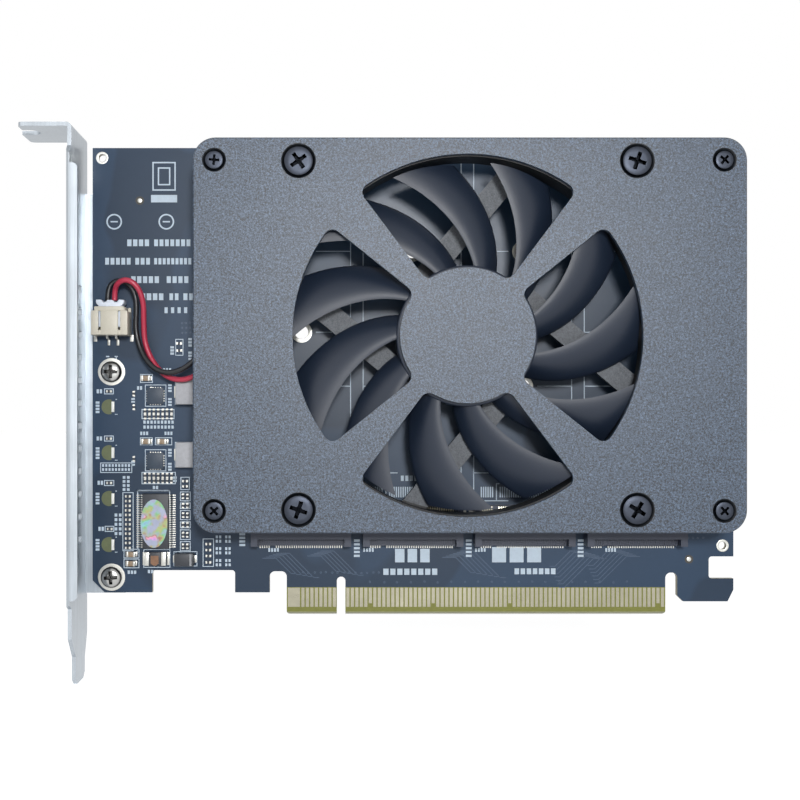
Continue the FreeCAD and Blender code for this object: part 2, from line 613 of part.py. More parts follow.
# ------------------------------------------------------------ slot bracket
def make_bracket():
    """Folded sheet: plate with tongue, tab with its notch, front and rear flanges."""
    body = new_body("Bracket")
    side = [
        ("bracket_top", "bracket_neck"),
        ("flange_high + 4", "bracket_neck"),
        ("flange_high + 2", "bracket_front"),
        ("flange_low - 0.9", "bracket_front"),
        ("flange_low - 2", "bracket_neck - 0.4"),
        ("-3.3", "bracket_neck - 0.4"),
        ("-7.8", "tongue_front"),
        ("bracket_tip + 1.2", "tongue_front"),
        ("bracket_tip", "tongue_front - 1.6"),
        ("bracket_tip", "tongue_rear + 1.6"),
        ("bracket_tip + 1.2", "tongue_rear"),
        ("-9.6", "tongue_rear"),
        ("-4.4", "bracket_rear"),
        ("ear_low - 0.5", "bracket_rear"),
        ("ear_low - 0.1", "-board_thick - sheet_thick"),
        ("ear_high + 0.1", "-board_thick - sheet_thick"),
        ("ear_high + 0.5", "bracket_rear"),
        ("bracket_top", "bracket_rear"),
    ]
    plate = outline(body, "PlateOutline", side, "YZ_Plane", "bracket_face - sheet_thick")
    feature(body, "Pad", "PlatePad", plate, Length="sheet_thick")
    tab = [
        ("bracket_face", "bracket_neck"),
        ("tab_front_end", "bracket_neck"),
        ("tab_front_end", "tab_notch_centre"),
        ("tab_rear_end", "tab_notch_centre"),
        ("tab_rear_end", "bracket_rear"),
        ("bracket_face", "bracket_rear"),
    ]
    tab_sketch = outline(body, "TabOutline", tab, "XZ_Plane", "-bracket_top")
    feature(body, "Pad", "TabPad", tab_sketch, Length="sheet_thick")
    notch = [
        ("tab_notch_end", "tab_notch_centre - tab_notch_half"),
        ("tab_notch_end", "tab_notch_centre + tab_notch_half"),
        ("tab_rear_end - 1", "tab_notch_centre + tab_notch_half"),
        ("tab_rear_end - 1", "tab_notch_centre - tab_notch_half"),
    ]
    through(body, "TabNotch", outline(body, "TabNotchOutline", notch, "XZ_Plane", "-bracket_top"))
    front = [
        ("bracket_face - sheet_thick", "flange_low"),
        ("bracket_face + flange_reach", "flange_low"),
        ("bracket_face + flange_reach", "flange_high"),
        ("bracket_face - sheet_thick", "flange_high"),
    ]
    front_sketch = outline(body, "FrontFlangeOutline", front, "XY_Plane", "bracket_front - sheet_thick")
    feature(body, "Pad", "FrontFlange", front_sketch, Length="sheet_thick")
    rear = [
        ("bracket_face - sheet_thick", "ear_low"),
        ("bracket_face + ear_reach", "ear_low"),
        ("bracket_face + ear_reach", "ear_high"),
        ("bracket_face - sheet_thick", "ear_high"),
    ]
    rear_sketch = outline(body, "RearFlangeOutline", rear, "XY_Plane", "-board_thick - sheet_thick")
    feature(body, "Pad", "RearFlange", rear_sketch, Length="sheet_thick")
    slit = [
        ("slit_low - slit_high / 2", "slit_centre - slit_deep / 2"),
        ("slit_low + slit_high / 2", "slit_centre - slit_deep / 2"),
        ("slit_low + slit_high / 2", "slit_centre + slit_deep / 2"),
        ("slit_low - slit_high / 2", "slit_centre + slit_deep / 2"),
    ]
    slit_sketch = outline(body, "SlitOutline", slit, "YZ_Plane", "bracket_face - sheet_thick")
    pocket = through(body, "Slit", slit_sketch)
    row = body.newObject("PartDesign::LinearPattern", "SlitRow")
    row.Originals = [pocket]
    row.Direction = (slit_sketch, ["H_Axis"])
    bind(row, Length="slit_pitch * (slit_count - 1)", Occurrences="slit_count")
    body.Tip = row
    threads = [(u, v, "ear_screw_radius") for u, v in EAR_SCREWS]
    doc.recompute()
    holes = circles(body, "EarThreads", threads, "XY_Plane", "-board_thick - sheet_thick")
    through(body, "EarThreadHoles", holes)
    reach = value("bracket_face + flange_reach")
    ends = [(reach, value("flange_low"), 0), (reach, value("flange_high"), 0)]
    corner_round(body, "FlangeCorners", ends, "1.25")
    ear = value("bracket_face + ear_reach")
    corners = [(ear, value("ear_low"), 0), (ear, value("ear_high"), 0)]
    corner_round(body, "EarCorners", corners, "1.5")
    across = Vector(0, 1, 0)
    outer = [
        (value("tab_front_end"), 0, value("bracket_neck")),
        (value("tab_rear_end"), 0, value("bracket_rear")),
    ]
    corner_round(body, "TabCorners", outer, "1.2", across)
    notch_sides = [value(f"tab_notch_centre {sign} tab_notch_half") for sign in "+-"]
    notch_ends = [(value("tab_notch_end"), 0, side) for side in notch_sides]
    corner_round(body, "NotchRound", notch_ends, "tab_notch_half - 0.1", across)
    skin = value("bracket_face - sheet_thick")
    lip = [(skin, 0, value("bracket_front")), (skin, 0, value("-board_thick - sheet_thick"))]
    corner_round(body, "FlangeBends", lip, "bend_outer", across)
    crest = [(value("bracket_face"), value("bracket_top"), 0)]
    corner_round(body, "TabBend", crest, "bend_outer")
    return seat(body, "mounting_bracket")


# ------------------------------------------------------------ screws and posts
def pan_screw(name, head, head_tall, thread, long):
    """A domed head with a cross recess over a plain shank; the head sits on z = 0."""
    body = new_body(name + "Turned")
    turned(
        body,
        name + "Turn",
        [
            ("0", head_tall),
            (f"({head}) * 0.55", head_tall),
            (f"({head}) * 0.93", f"({head_tall}) * 0.55"),
            (head, f"({head_tall}) * 0.3"),
            (head, "0"),
            (thread, "0"),
            (thread, f"-({long}) + 0.3"),
            (f"({thread}) - 0.3", f"-({long})"),
            ("0", f"-({long})"),
        ],
    )
    return recessed(name, body, head, head_tall)


def sunk_screw(name, head, sink, thread, deep, long):
    """A flat head in a 45 degree countersink; z = 0 is the top of the sheet that it sits in."""
    body = new_body(name + "Turned")
    top = f"({head} - {sink})"
    turned(
        body,
        name + "Turn",
        [
            ("0", f"{top} + 0.12"),
            (f"({head}) * 0.8", f"{top} + 0.08"),
            (head, top),
            (f"{sink} - ({deep})", f"-({deep})"),
            (thread, f"-({deep})"),
            (thread, f"-({long}) + 0.3"),
            (f"({thread}) - 0.3", f"-({long})"),
            ("0", f"-({long})"),
        ],
    )
    return recessed(name, body, head, f"{top} + 0.12")


def recessed(name, body, head, top):
    """The screw with a cross recess in its head."""
    arm = f"({head}) * 1.2"
    web = f"({head}) * 0.26"
    cross = [
        block(name + "_armA", 0, 0, f"({top}) - ({head}) * 0.28", arm, web, "2"),
        block(name + "_armB", 0, 0, f"({top}) - ({head}) * 0.28", web, arm, "2"),
    ]
    return cut(name, body, cross)


def make_fasteners():
    ear = pan_screw("EarScrew", "ear_head_radius", "ear_head_high", "ear_screw_radius",
                    "board_thick + sheet_thick + 0.6")
    seat(copies("EarScrews", ear, [(u, v, "ring_thick") for u, v in EAR_SCREWS]), "bracket_screws")
    post = doc.addObject("Part::Prism", "PostHex")
    post.Polygon = 6
    bind(post, Circumradius="post_radius", Height=cover_under)
    bore = rod("PostBore", 0, 0, -1, "post_thread", f"{cover_under} + 2")
    seat(copies("Posts", cut("Post", post, [bore]), POSTS), "cover_standoffs")
    cover_screw = sunk_screw("CoverScrew", "post_head", "post_sink", "post_thread - 0.02",
                             "post_sink - post_thread - 0.02", "6")
    seat(copies("CoverScrews", cover_screw, [(u, v, "cover_top") for u, v in POSTS]), "cover_screws")
    rear = pan_screw("RearScrew", "post_head + 0.3", "1.3", "post_thread - 0.02", "board_thick + 4")
    rear_screws = []
    for number, (u, v) in enumerate(POSTS):
        link = doc.addObject("App::Link", f"RearScrews_{number}")
        link.LinkedObject = rear
        link.Placement = Placement(Vector(), Rotation(Vector(1, 0, 0), 180))
        rear_screws.append(put(link, u, v, "-board_thick"))
    seat(group("RearScrews", rear_screws), "standoff_screws")
    fan_screw = sunk_screw("FanScrew", "fan_head", "fan_sink", "fan_thread", "cover_thick", "fan_screw_long")
    seat(copies("FanScrews", fan_screw, [(u, v, "cover_top") for u, v in FAN_HOLES]), "fan_screws")


# ------------------------------------------------------------ cover plate
def vent_opening(name, outer_radius, sweep):
    """One rounded annular sector, on the +x axis, for two opposite openings of the cover."""
    outer = rod(name + "Outer", 0, 0, 0, outer_radius, "cover_thick + 2")
    bind(outer, Angle=sweep)
    inner = rod(name + "Inner", 0, 0, -1, "vent_inner", "cover_thick + 4")
    sector = cut(name + "Sector", outer, [inner])
    end = math.radians(value(sweep))
    corners = []
    for radius in (value("vent_inner"), value(outer_radius)):
        corners += [(radius, 0, 0), (radius * math.cos(end), radius * math.sin(end), 0)]
    return rounded(name + "Rounded", sector, corners, "vent_corner")


def make_cover():
    body = new_body("CoverBlank")
    corners = [
        ("cover_left", "cover_low"),
        ("cover_right", "cover_low"),
        ("cover_right", "cover_high"),
        ("cover_left", "cover_high"),
    ]
    sheet_metal = outline(body, "CoverOutline", corners, "XY_Plane", cover_under)
    feature(body, "Pad", "CoverPad", sheet_metal, Length="cover_thick")
    corner_round(body, "CoverCorners", spots(corners), "cover_corner")
    doc.recompute()
    tip = body.Tip
    rim = [
        f"Edge{number}"
        for number, edge in enumerate(tip.Shape.Edges, 1)
        if edge.BoundBox.ZMin > value("cover_top") - 0.01
    ]
    broken = body.newObject("PartDesign::Chamfer", "CoverBrokenEdge")
    broken.Base = (tip, rim)
    bind(broken, Size="cover_edge")
    masters = [
        vent_opening("SideVent", "vent_side_outer", "vent_side_sweep"),
        vent_opening("TopVent", "vent_top_outer", "vent_top_sweep"),
    ]
    sweeps = [value("vent_side_sweep"), value("vent_top_sweep")]
    tools = []
    for quarter in range(4):
        link = doc.addObject("App::Link", f"Vent_{quarter}")
        link.LinkedObject = masters[quarter % 2]
        turn = quarter * 90 - sweeps[quarter % 2] / 2
        link.Placement = Placement(Vector(), Rotation(Vector(0, 0, 1), turn))
        tools.append(put(link, "fan_u", "fan_v", f"{cover_under} - 1"))
    for number, (u, v) in enumerate(FAN_HOLES):
        tools.append(cone(f"FanSink_{number}", u, v, cover_under, "fan_sink - cover_thick", "fan_sink",
                          "cover_thick"))
    low = "post_sink - cover_thick"
    for number, (u, v) in enumerate(POSTS):
        tools.append(cone(f"PostSink_{number}", u, v, cover_under, low, "post_sink", "cover_thick"))
        tools.append(rod(f"PostClear_{number}", u, v, f"{cover_under} - 1", "post_thread + 0.02", "2"))
    return seat(cut("Cover", body, tools), "cover_plate")


# ------------------------------------------------------------ fan
def make_fan_frame():
    """Square frame, motor base on four struts set like a pinwheel, bearing tower."""
    square = block("FanSquare", "fan_u", "fan_v", fan_rear, "fan_side", "fan_side", "fan_deep")
    half = value("fan_side / 2")
    u, v = value("fan_u"), value("fan_v")
    corners = [(u + side * half, v + rise * half, 0) for side in (-1, 1) for rise in (-1, 1)]
    outer = rounded("FanSquareRounded", square, corners, "fan_corner")
    tools = [rod("FanBore", "fan_u", "fan_v", f"{fan_rear} - 1", "fan_bore", "fan_deep + 2")]
    for number, (hole_u, hole_v) in enumerate(FAN_HOLES):
        tools.append(rod(f"FanHole_{number}", hole_u, hole_v, f"{fan_rear} - 1", "fan_hole_radius",
                         "fan_deep + 2"))
    frame = cut("FanRing", outer, tools)
    struts = []
    for quarter in range(4):
        strut = doc.addObject("Part::Box", f"Strut_{quarter}")
        long = "sqrt(fan_bore ^ 2 - base_radius ^ 2) + 1"
        bind(strut, Length=long, Width="strut_wide", Height="strut_thick")
        turn = value("strut_turn") + quarter * 90
        strut.Placement = Placement(Vector(), Rotation(Vector(0, 0, 1), turn))
        side = math.radians(turn + 90)
        reach = "(base_radius - strut_wide / 2)"
        put(strut, f"fan_u + {reach} * {math.cos(side):.6f}", f"fan_v + {reach} * {math.sin(side):.6f}",
            fan_rear)
        struts.append(strut)
    base = rod("MotorBase", "fan_u", "fan_v", fan_rear, "base_radius", "base_thick")
    tower = rod("BearingTower", "fan_u", "fan_v", fan_rear, "tower_radius", "tower_high")
    whole = fuse("FanWhole", [frame, base, tower] + struts)
    groove = doc.addObject("Part::Box", "LeadGroove")
    bind(groove, Length="40", Width="groove_wide", Height="groove_deep + 1")
    turn = value("strut_turn") + 90
    groove.Placement = Placement(Vector(), Rotation(Vector(0, 0, 1), turn))
    side = math.radians(turn + 90)
    along = math.radians(turn)
    offset = "(base_radius - groove_wide / 2)"
    put(groove, f"fan_u + {offset} * {math.cos(side):.6f} + 3 * {math.cos(along):.6f}",
        f"fan_v + {offset} * {math.sin(side):.6f} + 3 * {math.sin(along):.6f}", f"{fan_rear} - 1")
    hollow = rod("SleeveSeat", "fan_u", "fan_v", f"{fan_rear} + sleeve_floor", "sleeve_outer",
                 "tower_high + 1")
    return seat(cut("FanFrame", whole, [groove, hollow]), "fan_frame")


def aerofoil(radius, middle, spread, front, rear, thick):
    """A thin curved section, flat in the plane that faces the axis at the given radius."""
    steps = 6
    centre = math.radians(middle)
    outward = Vector(math.cos(centre), math.sin(centre), 0)
    sideways = Vector(-math.sin(centre), math.cos(centre), 0)
    chord = 2 * radius * math.tan(math.radians(spread / 2))
    upper, lower = [], []
    for step in range(steps + 1):
        along = step / steps
        camber = math.sin(math.pi * along) * value("blade_camber")
        height = front + (rear - front) * along + camber
        half = max(thick * math.sqrt(4 * along * (1 - along)), value("blade_edge")) / 2
        spot = outward * radius + sideways * (chord * (0.5 - along))
        upper.append(spot + Vector(0, 0, height + half))
        lower.append(spot + Vector(0, 0, height - half))
    front_edge = Part.LineSegment(lower[0], upper[0]).toShape()
    back_edge = Part.LineSegment(upper[-1], lower[-1]).toShape()
    top, bottom = Part.BSplineCurve(), Part.BSplineCurve()
    top.interpolate(upper)
    bottom.interpolate(list(reversed(lower)))
    return Part.Wire([front_edge, top.toShape(), back_edge, bottom.toShape()])


def make_blade():
    """One swept blade, lofted from hub to tip and trimmed to the hub and tip circles."""
    root = value("hub_radius - hub_wall / 2")
    tip = value("blade_tip")
    front = value(f"{cover_under} - blade_setback")
    rear = value(f"{fan_rear} + strut_thick + blade_clear")
    overrun = 1.5
    inside = root - overrun
    outside = tip + overrun
    sections = []
    for step in range(5):
        part = step / 4
        radius = inside + (outside - inside) * part
        middle = value("blade_first") + value("blade_sweep") * (radius - root) / (tip - root)
        spread = value("blade_spread")
        thick = value("blade_thick") * (1.15 - 0.35 * part)
        sections.append(aerofoil(radius, middle, spread, front - 0.25 * part, rear + 0.15 * part, thick))
    loft = Part.makeLoft(sections, True, False)
    deep = value("fan_deep") * 3
    sleeve = Part.makeCylinder(tip, deep, Vector(0, 0, 0)).cut(Part.makeCylinder(root, deep, Vector(0, 0, 0)))
    blade = doc.addObject("Part::Feature", "Blade")
    blade.Shape = loft.common(sleeve)
    return blade


def make_impeller():
    """Moulded hub with its ring of swept blades, one piece."""
    face = f"{cover_under} - hub_setback"
    low = f"{fan_rear} + strut_thick + hub_clear"
    hub = new_body("HubTurned")
    turned(
        hub,
        "HubTurn",
        [
            ("0", face),
            ("hub_radius - hub_round", face),
            ("hub_radius", f"{face} - hub_round"),
            ("hub_radius", low),
            ("hub_radius - hub_wall", low),
            ("hub_radius - hub_wall", f"{face} - hub_face"),
            ("0", f"{face} - hub_face"),
        ],
    )
    master = make_blade()
    blades = []
    for number in range(int(value("blade_count"))):
        link = doc.addObject("App::Link", f"Blade_{number}")
        link.LinkedObject = master
        turn = number * 360 / value("blade_count")
        link.Placement = Placement(Vector(), Rotation(Vector(0, 0, 1), turn))
        blades.append(link)
    return seat(fuse("Impeller", [hub] + blades), "fan_impeller", "fan_u", "fan_v")


def turned_piece(name, label, points):
    """A turned motor piece on the fan's axis."""
    body = new_body(name)
    turned(body, name + "Turn", points)
    return seat(body, label, "fan_u", "fan_v")


def make_motor():
    """Rotor cup, ring magnet and shaft turn; sleeve, stator and motor board stand still."""
    inner = "(hub_radius - hub_wall)"
    roof = f"({cover_under} - hub_setback - hub_face)"
    low = f"({fan_rear} + strut_thick + hub_clear + 0.1)"
    cup_roof = f"{roof} - cup_wall"
    turned_piece("RotorCup", "rotor_cup", [
        ("shaft_radius", roof),
        (inner, roof),
        (inner, low),
        (f"{inner} - cup_wall", low),
        (f"{inner} - cup_wall", cup_roof),
        ("shaft_radius", cup_roof),
    ])
    ring_outer = f"({inner} - cup_wall)"
    turned_piece("RotorMagnet", "rotor_magnet", [
        (f"{ring_outer} - magnet_wall", cup_roof),
        (ring_outer, cup_roof),
        (ring_outer, f"{low} + 0.1"),
        (f"{ring_outer} - magnet_wall", f"{low} + 0.1"),
    ])
    foot = f"({fan_rear} + sleeve_floor)"
    clip_low = f"{foot} + clip_low"
    clip_high = f"{foot} + clip_low + clip_thick"
    turned_piece("MotorShaft", "motor_shaft", [
        ("0", roof),
        ("shaft_radius", roof),
        ("shaft_radius", f"{clip_high} + clip_play"),
        ("shaft_radius - clip_groove", f"{clip_high} + clip_play"),
        ("shaft_radius - clip_groove", f"{clip_low} - clip_play"),
        ("shaft_radius", f"{clip_low} - clip_play"),
        ("shaft_radius - clip_thick", f"{foot} + shaft_end"),
        ("0", f"{foot} + shaft_end"),
    ])
    turned_piece("ShaftClip", "shaft_clip", [
        ("shaft_radius - clip_groove", clip_high),
        ("clip_outer", clip_high),
        ("clip_outer", clip_low),
        ("shaft_radius - clip_groove", clip_low),
    ])
    turned_piece("BearingSleeve", "bearing_sleeve", [
        ("sleeve_bore", f"{fan_rear} + sleeve_high"),
        ("sleeve_outer", f"{fan_rear} + sleeve_high"),
        ("sleeve_outer", f"{foot} + sleeve_low"),
        ("sleeve_bore", f"{foot} + sleeve_low"),
    ])
    make_stator()
    disc = rod("MotorBoardDisc", "fan_u", "fan_v", f"{fan_rear} + base_thick", "motor_board_radius",
               "motor_board_thick")
    hole = rod("MotorBoardHole", "fan_u", "fan_v", fan_rear, "tower_radius", "4 * base_thick")
    struts = [doc.getObject(f"Strut_{quarter}") for quarter in range(4)]
    seat(cut("MotorBoard", disc, [hole] + struts), "motor_board")


def make_stator():
    """Four-armed core with split shoes, and a coil on each arm."""
    low = f"({fan_rear} + core_low)"
    hub = rod("StatorHub", "fan_u", "fan_v", low, "tower_radius + core_thick", "core_thick")
    reach = "2 * (core_shoe - core_shoe_wall / 2)"
    arms = [block("StatorArmA", "fan_u", "fan_v", low, reach, "core_arm", "core_thick"),
            block("StatorArmB", "fan_u", "fan_v", low, "core_arm", reach, "core_thick")]
    shoe_outer = rod("ShoeOuter", "fan_u", "fan_v", low, "core_shoe", "core_thick")
    shoe_inner = rod("ShoeInner", "fan_u", "fan_v", f"{low} - 1", "core_shoe - core_shoe_wall",
                     "core_thick + 2")
    gaps = []
    for quarter in range(4):
        gap = block(f"ShoeGap_{quarter}", 0, 0, 0, "2 * core_shoe", "core_gap", "core_thick + 2")
        turn = math.radians(45 + 90 * quarter)
        gap.Placement = Placement(Vector(), Rotation(Vector(0, 0, 1), math.degrees(turn)))
        gaps.append(put(gap, f"fan_u + core_gap / 2 * {math.sin(turn):.6f}",
                        f"fan_v - core_gap / 2 * {math.cos(turn):.6f}", f"{low} - 1"))
    split = cut("SplitShoes", cut("ShoeRing", shoe_outer, [shoe_inner]), gaps)
    whole = fuse("StatorWhole", [hub, split] + arms)
    bore = rod("StatorBore", "fan_u", "fan_v", fan_rear, "tower_radius", "fan_deep")
    seat(cut("StatorCore", whole, [bore]), "stator_core")
    coils = []
    for number, (du, dv) in enumerate(((1, 0), (0, 1), (-1, 0), (0, -1))):
        u, v = f"fan_u + ({du}) * coil_centre", f"fan_v + ({dv}) * coil_centre"
        sides = ["coil_long", "coil_wide"] if du else ["coil_wide", "coil_long"]
        arm = ["2 * coil_long", "core_arm"] if du else ["core_arm", "2 * coil_long"]
        outer = block(f"CoilOuter_{number}", u, v, f"{low} - coil_over", *sides, "core_thick + 2 * coil_over")
        inner = block(f"CoilInner_{number}", u, v, low, *arm, "core_thick")
        coils.append(cut(f"Coil_{number}", outer, [inner]))
    seat(group("Coils", coils), "stator_coils")


# ------------------------------------------------------------ fan lead
def tube_path(route):
    """Straight runs joined by tangent arcs; each arc is as large as its runs allow."""
    points = [Vector(*spot) for spot in route]
    runs = [points[number + 1] - points[number] for number in range(len(points) - 1)]
    edges, radii = [], []
    start = points[0]
    for number in range(1, len(points) - 1):
        before, after = runs[number - 1], runs[number]
        trim = 0.45 * min(before.Length, after.Length)
        half = before.getAngle(after) / 2
        radii.append(trim / math.tan(half))
        entry = points[number] - Vector(before).normalize() * trim
        leave = points[number] + Vector(after).normalize() * trim
        bisector = (entry + leave) * 0.5 - points[number]
        centre = points[number] + Vector(bisector).normalize() * (radii[-1] / math.cos(half))
        middle = centre + (points[number] - centre).normalize() * radii[-1]
        edges.append(Part.LineSegment(start, entry).toShape())
        edges.append(Part.Arc(entry, middle, leave).toShape())
        start = leave
    edges.append(Part.LineSegment(start, points[-1]).toShape())
    return Part.Wire(edges), radii


def make_wire(label, route):
    """A fan wire as a plain round tube along its route, in board coordinates."""
    path, radii = tube_path(route)
    radius = value("lead_radius")
    section = Part.Circle(Vector(*route[0]), Vector(*route[1]) - Vector(*route[0]), radius).toShape()
    wire = doc.addObject("Part::Feature", label + "_tube")
    wire.Shape = path.makePipeShell([Part.Wire(section)], True, False)
    volume = math.pi * radius ** 2 * path.Length
    print(f"{label}: length {path.Length:.1f}, volume ratio {wire.Shape.Volume / volume:.4f}")
    print("   radii", " ".join(f"{number:.1f}" for number in radii))
    return seat(wire, label)


def strut_point(offset, along):
    """A point beside the fan's lead strut: offset from the axis, then along the strut."""
    turn = math.radians(value("strut_turn") + 90)
    u = value("fan_u") + offset * math.cos(turn + math.pi / 2) + along * math.cos(turn)
    v = value("fan_v") + offset * math.sin(turn + math.pi / 2) + along * math.sin(turn)
    return (u, v, value(f"{fan_rear} + lead_radius"))


BLACK_ROUTE = [
    (-17.3, 79.0, 6.3), (-21.8, 78.8, 6.3), (-25.3, 75.3, 6.3), (-26.8, 69.3, 6.4),
    (-28.0, 62.5, 6.5), (-31.0, 56.6, 6.6), (-35.9, 53.3, 6.3), (-40.6, 53.9, 4.6), (-43.8, 57.6, 3.4),
    (-45.3, 62.7, 3.0), (-45.0, 67.0, 3.2), (-45.1, 70.6, 3.3), (-46.8, 73.3, 3.2), (-49.3, 74.1, 3.0),
    (-51.35, 72.5, 3.0),
]
RED_ROUTE = [
    (-16.6, 76.9, 6.3), (-20.4, 76.2, 6.3), (-23.0, 72.6, 6.2), (-24.4, 67.0, 6.1),
    (-25.8, 60.6, 5.9), (-28.6, 55.2, 5.4), (-33.2, 51.9, 4.6), (-37.9, 52.2, 3.7), (-41.2, 55.4, 2.9),
    (-43.3, 59.9, 2.6), (-43.4, 64.8, 3.3), (-43.2, 69.2, 4.6), (-44.5, 72.6, 5.4), (-46.8, 74.0, 5.6),
    (-49.0, 73.2, 4.7), (-49.85, 71.5, 3.0),
]


def make_lead():
    """Two wires from the motor, along their strut, out over the board to the plug."""
    spread = value("lead_radius + lead_gap")
    middle = value("base_radius")
    wires = {
        "fan_wire_black": (middle - spread, BLACK_ROUTE, "header_u - terminal_gap / 2"),
        "fan_wire_red": (middle + spread, RED_ROUTE, "header_u + terminal_gap / 2"),
    }
    for label, (offset, route, u) in wires.items():
        on_strut = [
            strut_point(offset, value("lead_start")),
            strut_point(offset + value("lead_slack"), value("lead_middle")),
            strut_point(offset, value("lead_leave")),
        ]
        make_wire(label, on_strut + route + [(value(u), value("plug_end"), value("lead_rise"))])


def header_pin(name, u):
    """One bent pin: a bar through the header's rear wall and a leg down to the board."""
    bar = block(name + "_bar", u, "header_v - header_wall", "pin_high", "pin_side", "header_deep", "pin_side")
    leg = block(name + "_leg", u, "header_v - header_deep / 2 - header_wall + pin_side / 2", "0", "pin_side",
                "pin_side", "pin_high + pin_side")
    return fuse(name, [bar, leg])


def make_header():
    """Open shrouded header on the board, its two pins, and the plug in it."""
    shell = block("HeaderShell", "header_u", "header_v", 0, "header_wide", "header_deep", "header_high")
    cavity = block("HeaderCavity", "header_u", "header_v + header_wall", "header_floor",
                   "header_wide - 2 * header_wall", "header_deep", "header_high - header_floor - header_wall")
    slits = []
    pins = []
    slots = []
    rear = "(header_v - header_deep / 2 + plug_in)"
    for number, sign in enumerate((-1, 1)):
        slits.append(block(f"HeaderSlit_{number}", f"header_u + ({sign}) * header_slit_off",
                           "header_v + 2 * header_wall", "header_high - 2 * header_wall", "header_slit",
                           "header_deep", "4 * header_wall"))
        pin_u = f"header_u + ({sign}) * pin_off"
        pins.append(header_pin(f"HeaderPin_{number}", pin_u))
        slots.append(block(f"PlugSlot_{number}", pin_u, rear, "pin_high - 0.05", "plug_slot",
                           "header_deep + 2", "pin_side + 0.1"))
    seat(cut("Header", shell, [cavity] + slits + pins), "fan_header")
    seat(group("HeaderPins", pins), "header_pins")
    deep = f"(plug_end - {rear})"
    body = block("PlugBody", "header_u", f"{rear} + {deep} / 2", "plug_low", "plug_wide", deep, "plug_high")
    return seat(cut("Plug", body, slots), "fan_plug")


# ------------------------------------------------------------ M.2 sockets and posts
def make_socket():
    """One socket body with its card slot open at the top edge and a key rib in it."""
    deep = "(socket_high - socket_low)"
    shell = block("SocketShell", 0, f"socket_low + {deep} / 2", 0, "socket_wide", deep, "socket_tall")
    slot = block("SocketSlot", 0, "socket_high", "socket_slot_low", "socket_slot_wide",
                 "2 * socket_slot_deep", "socket_slot_tall")
    stand_back = block("SocketStandBack", 0, "socket_high", "socket_slot_low + 0.3", "socket_slot_wide",
                       "2 * socket_lip", "socket_tall")
    relief = block("SocketRelief", 0, "socket_low", "socket_relief_low", "socket_slot_wide - 1",
                   "2 * socket_relief", "socket_tall")
    body = cut("SocketHollow", shell, [slot, stand_back, relief])
    rib_long = "(socket_slot_deep - socket_lip)"
    rib = block("SocketKey", "-socket_key", f"socket_high - socket_lip - {rib_long} / 2",
                "socket_slot_low - 0.5", "socket_key_wide", rib_long, "socket_slot_tall + 1")
    return fuse("SocketBody", [body, rib])


def make_sockets():
    master = make_socket()
    tails, tabs = [], []
    reach = value("socket_wide / 2 - 1.5")
    count = int(reach / value("tail_pitch"))
    for number, u in enumerate(SOCKETS, 1):
        link = doc.addObject("App::Link", f"Socket_{number}")
        link.LinkedObject = master
        seat(link, f"m2_socket_{number}", u)
        for place in range(-count, count + 1):
            if abs(place * value("tail_pitch") + value("tail_key")) < value("tail_key_half"):
                continue
            tails.append(block(f"Tail_{number}_{place + count}", f"{u} + ({place}) * tail_pitch",
                               "socket_low - tail_long / 2", "0", "tail_wide", "tail_long", "tail_thick"))
        for side in (-1, 1):
            tabs.append(block(f"Tab_{number}_{side + 1}", f"{u} + ({side}) * (socket_wide + tab_wide) / 2",
                              "socket_high - tab_long", "0", "tab_wide", "tab_long", "tail_thick"))
    seat(group("Tails", tails), "m2_contacts")
    seat(group("Tabs", tabs), "m2_anchor_tabs")
    post = rod("DrivePostBody", 0, 0, "ring_thick", "drive_post_radius", "drive_post_high - ring_thick")
    stem = rod("DrivePostStem", 0, 0, "-board_thick", "drive_bore - 0.05", "board_thick + 1")
    bore = rod("DrivePostBore", 0, 0, "-board_thick - 1", "drive_thread", "board_thick + drive_post_high + 2")
    whole = cut("DrivePost", fuse("DrivePostSolid", [post, stem]), [bore])
    seat(copies("DrivePosts", whole, [(u, "drive_full") for u in SOCKETS]), "m2_standoffs")


# ------------------------------------------------------------ small electronics
# u, v
CAPACITORS = [
    ("-43.4", "52.45"),
    ("-43.35", "38.4"),
    ("-39.75", "38.4"),
    ("-46.65", "13.35"),
    ("-46.7", "11.3"),
]
# first u, first v, columns, rows, column step, row step
RESISTOR_ROWS = [
    ("-47.45", "14.75", 1, 12, "0", "1.04"),
    ("-29.55", "11.55", 1, 4, "0", "1.35"),
    ("-36.0", "58.6", 1, 2, "0", "1.6"),
    ("-34.7", "28.4", 1, 2, "0", "1.2"),
    ("-51.6", "18.95", 1, 4, "0", "10.2"),
]


def two_ended(name, u, v, wide, long, tall, end):
    """A chip part along X: its body, and an end cap on each side of it."""
    body = block(name, u, v, "part_stand", wide, long, f"{tall} - part_stand")
    caps = [block(f"{name}_cap{side + 1}", f"{u} + ({side}) * ({wide} + {end}) / 2", v, 0, end, long, tall)
            for side in (-1, 1)]
    return body, caps


def tongues(name, u, v, wide, long, tall, reach):
    """Two flat terminals that stand out from under a body along X."""
    off = f"({wide} + {reach}) / 2"
    return [block(f"{name}_tongue{side + 1}", f"{u} + ({side}) * {off}", v, 0, reach, long, tall)
            for side in (-1, 1)]


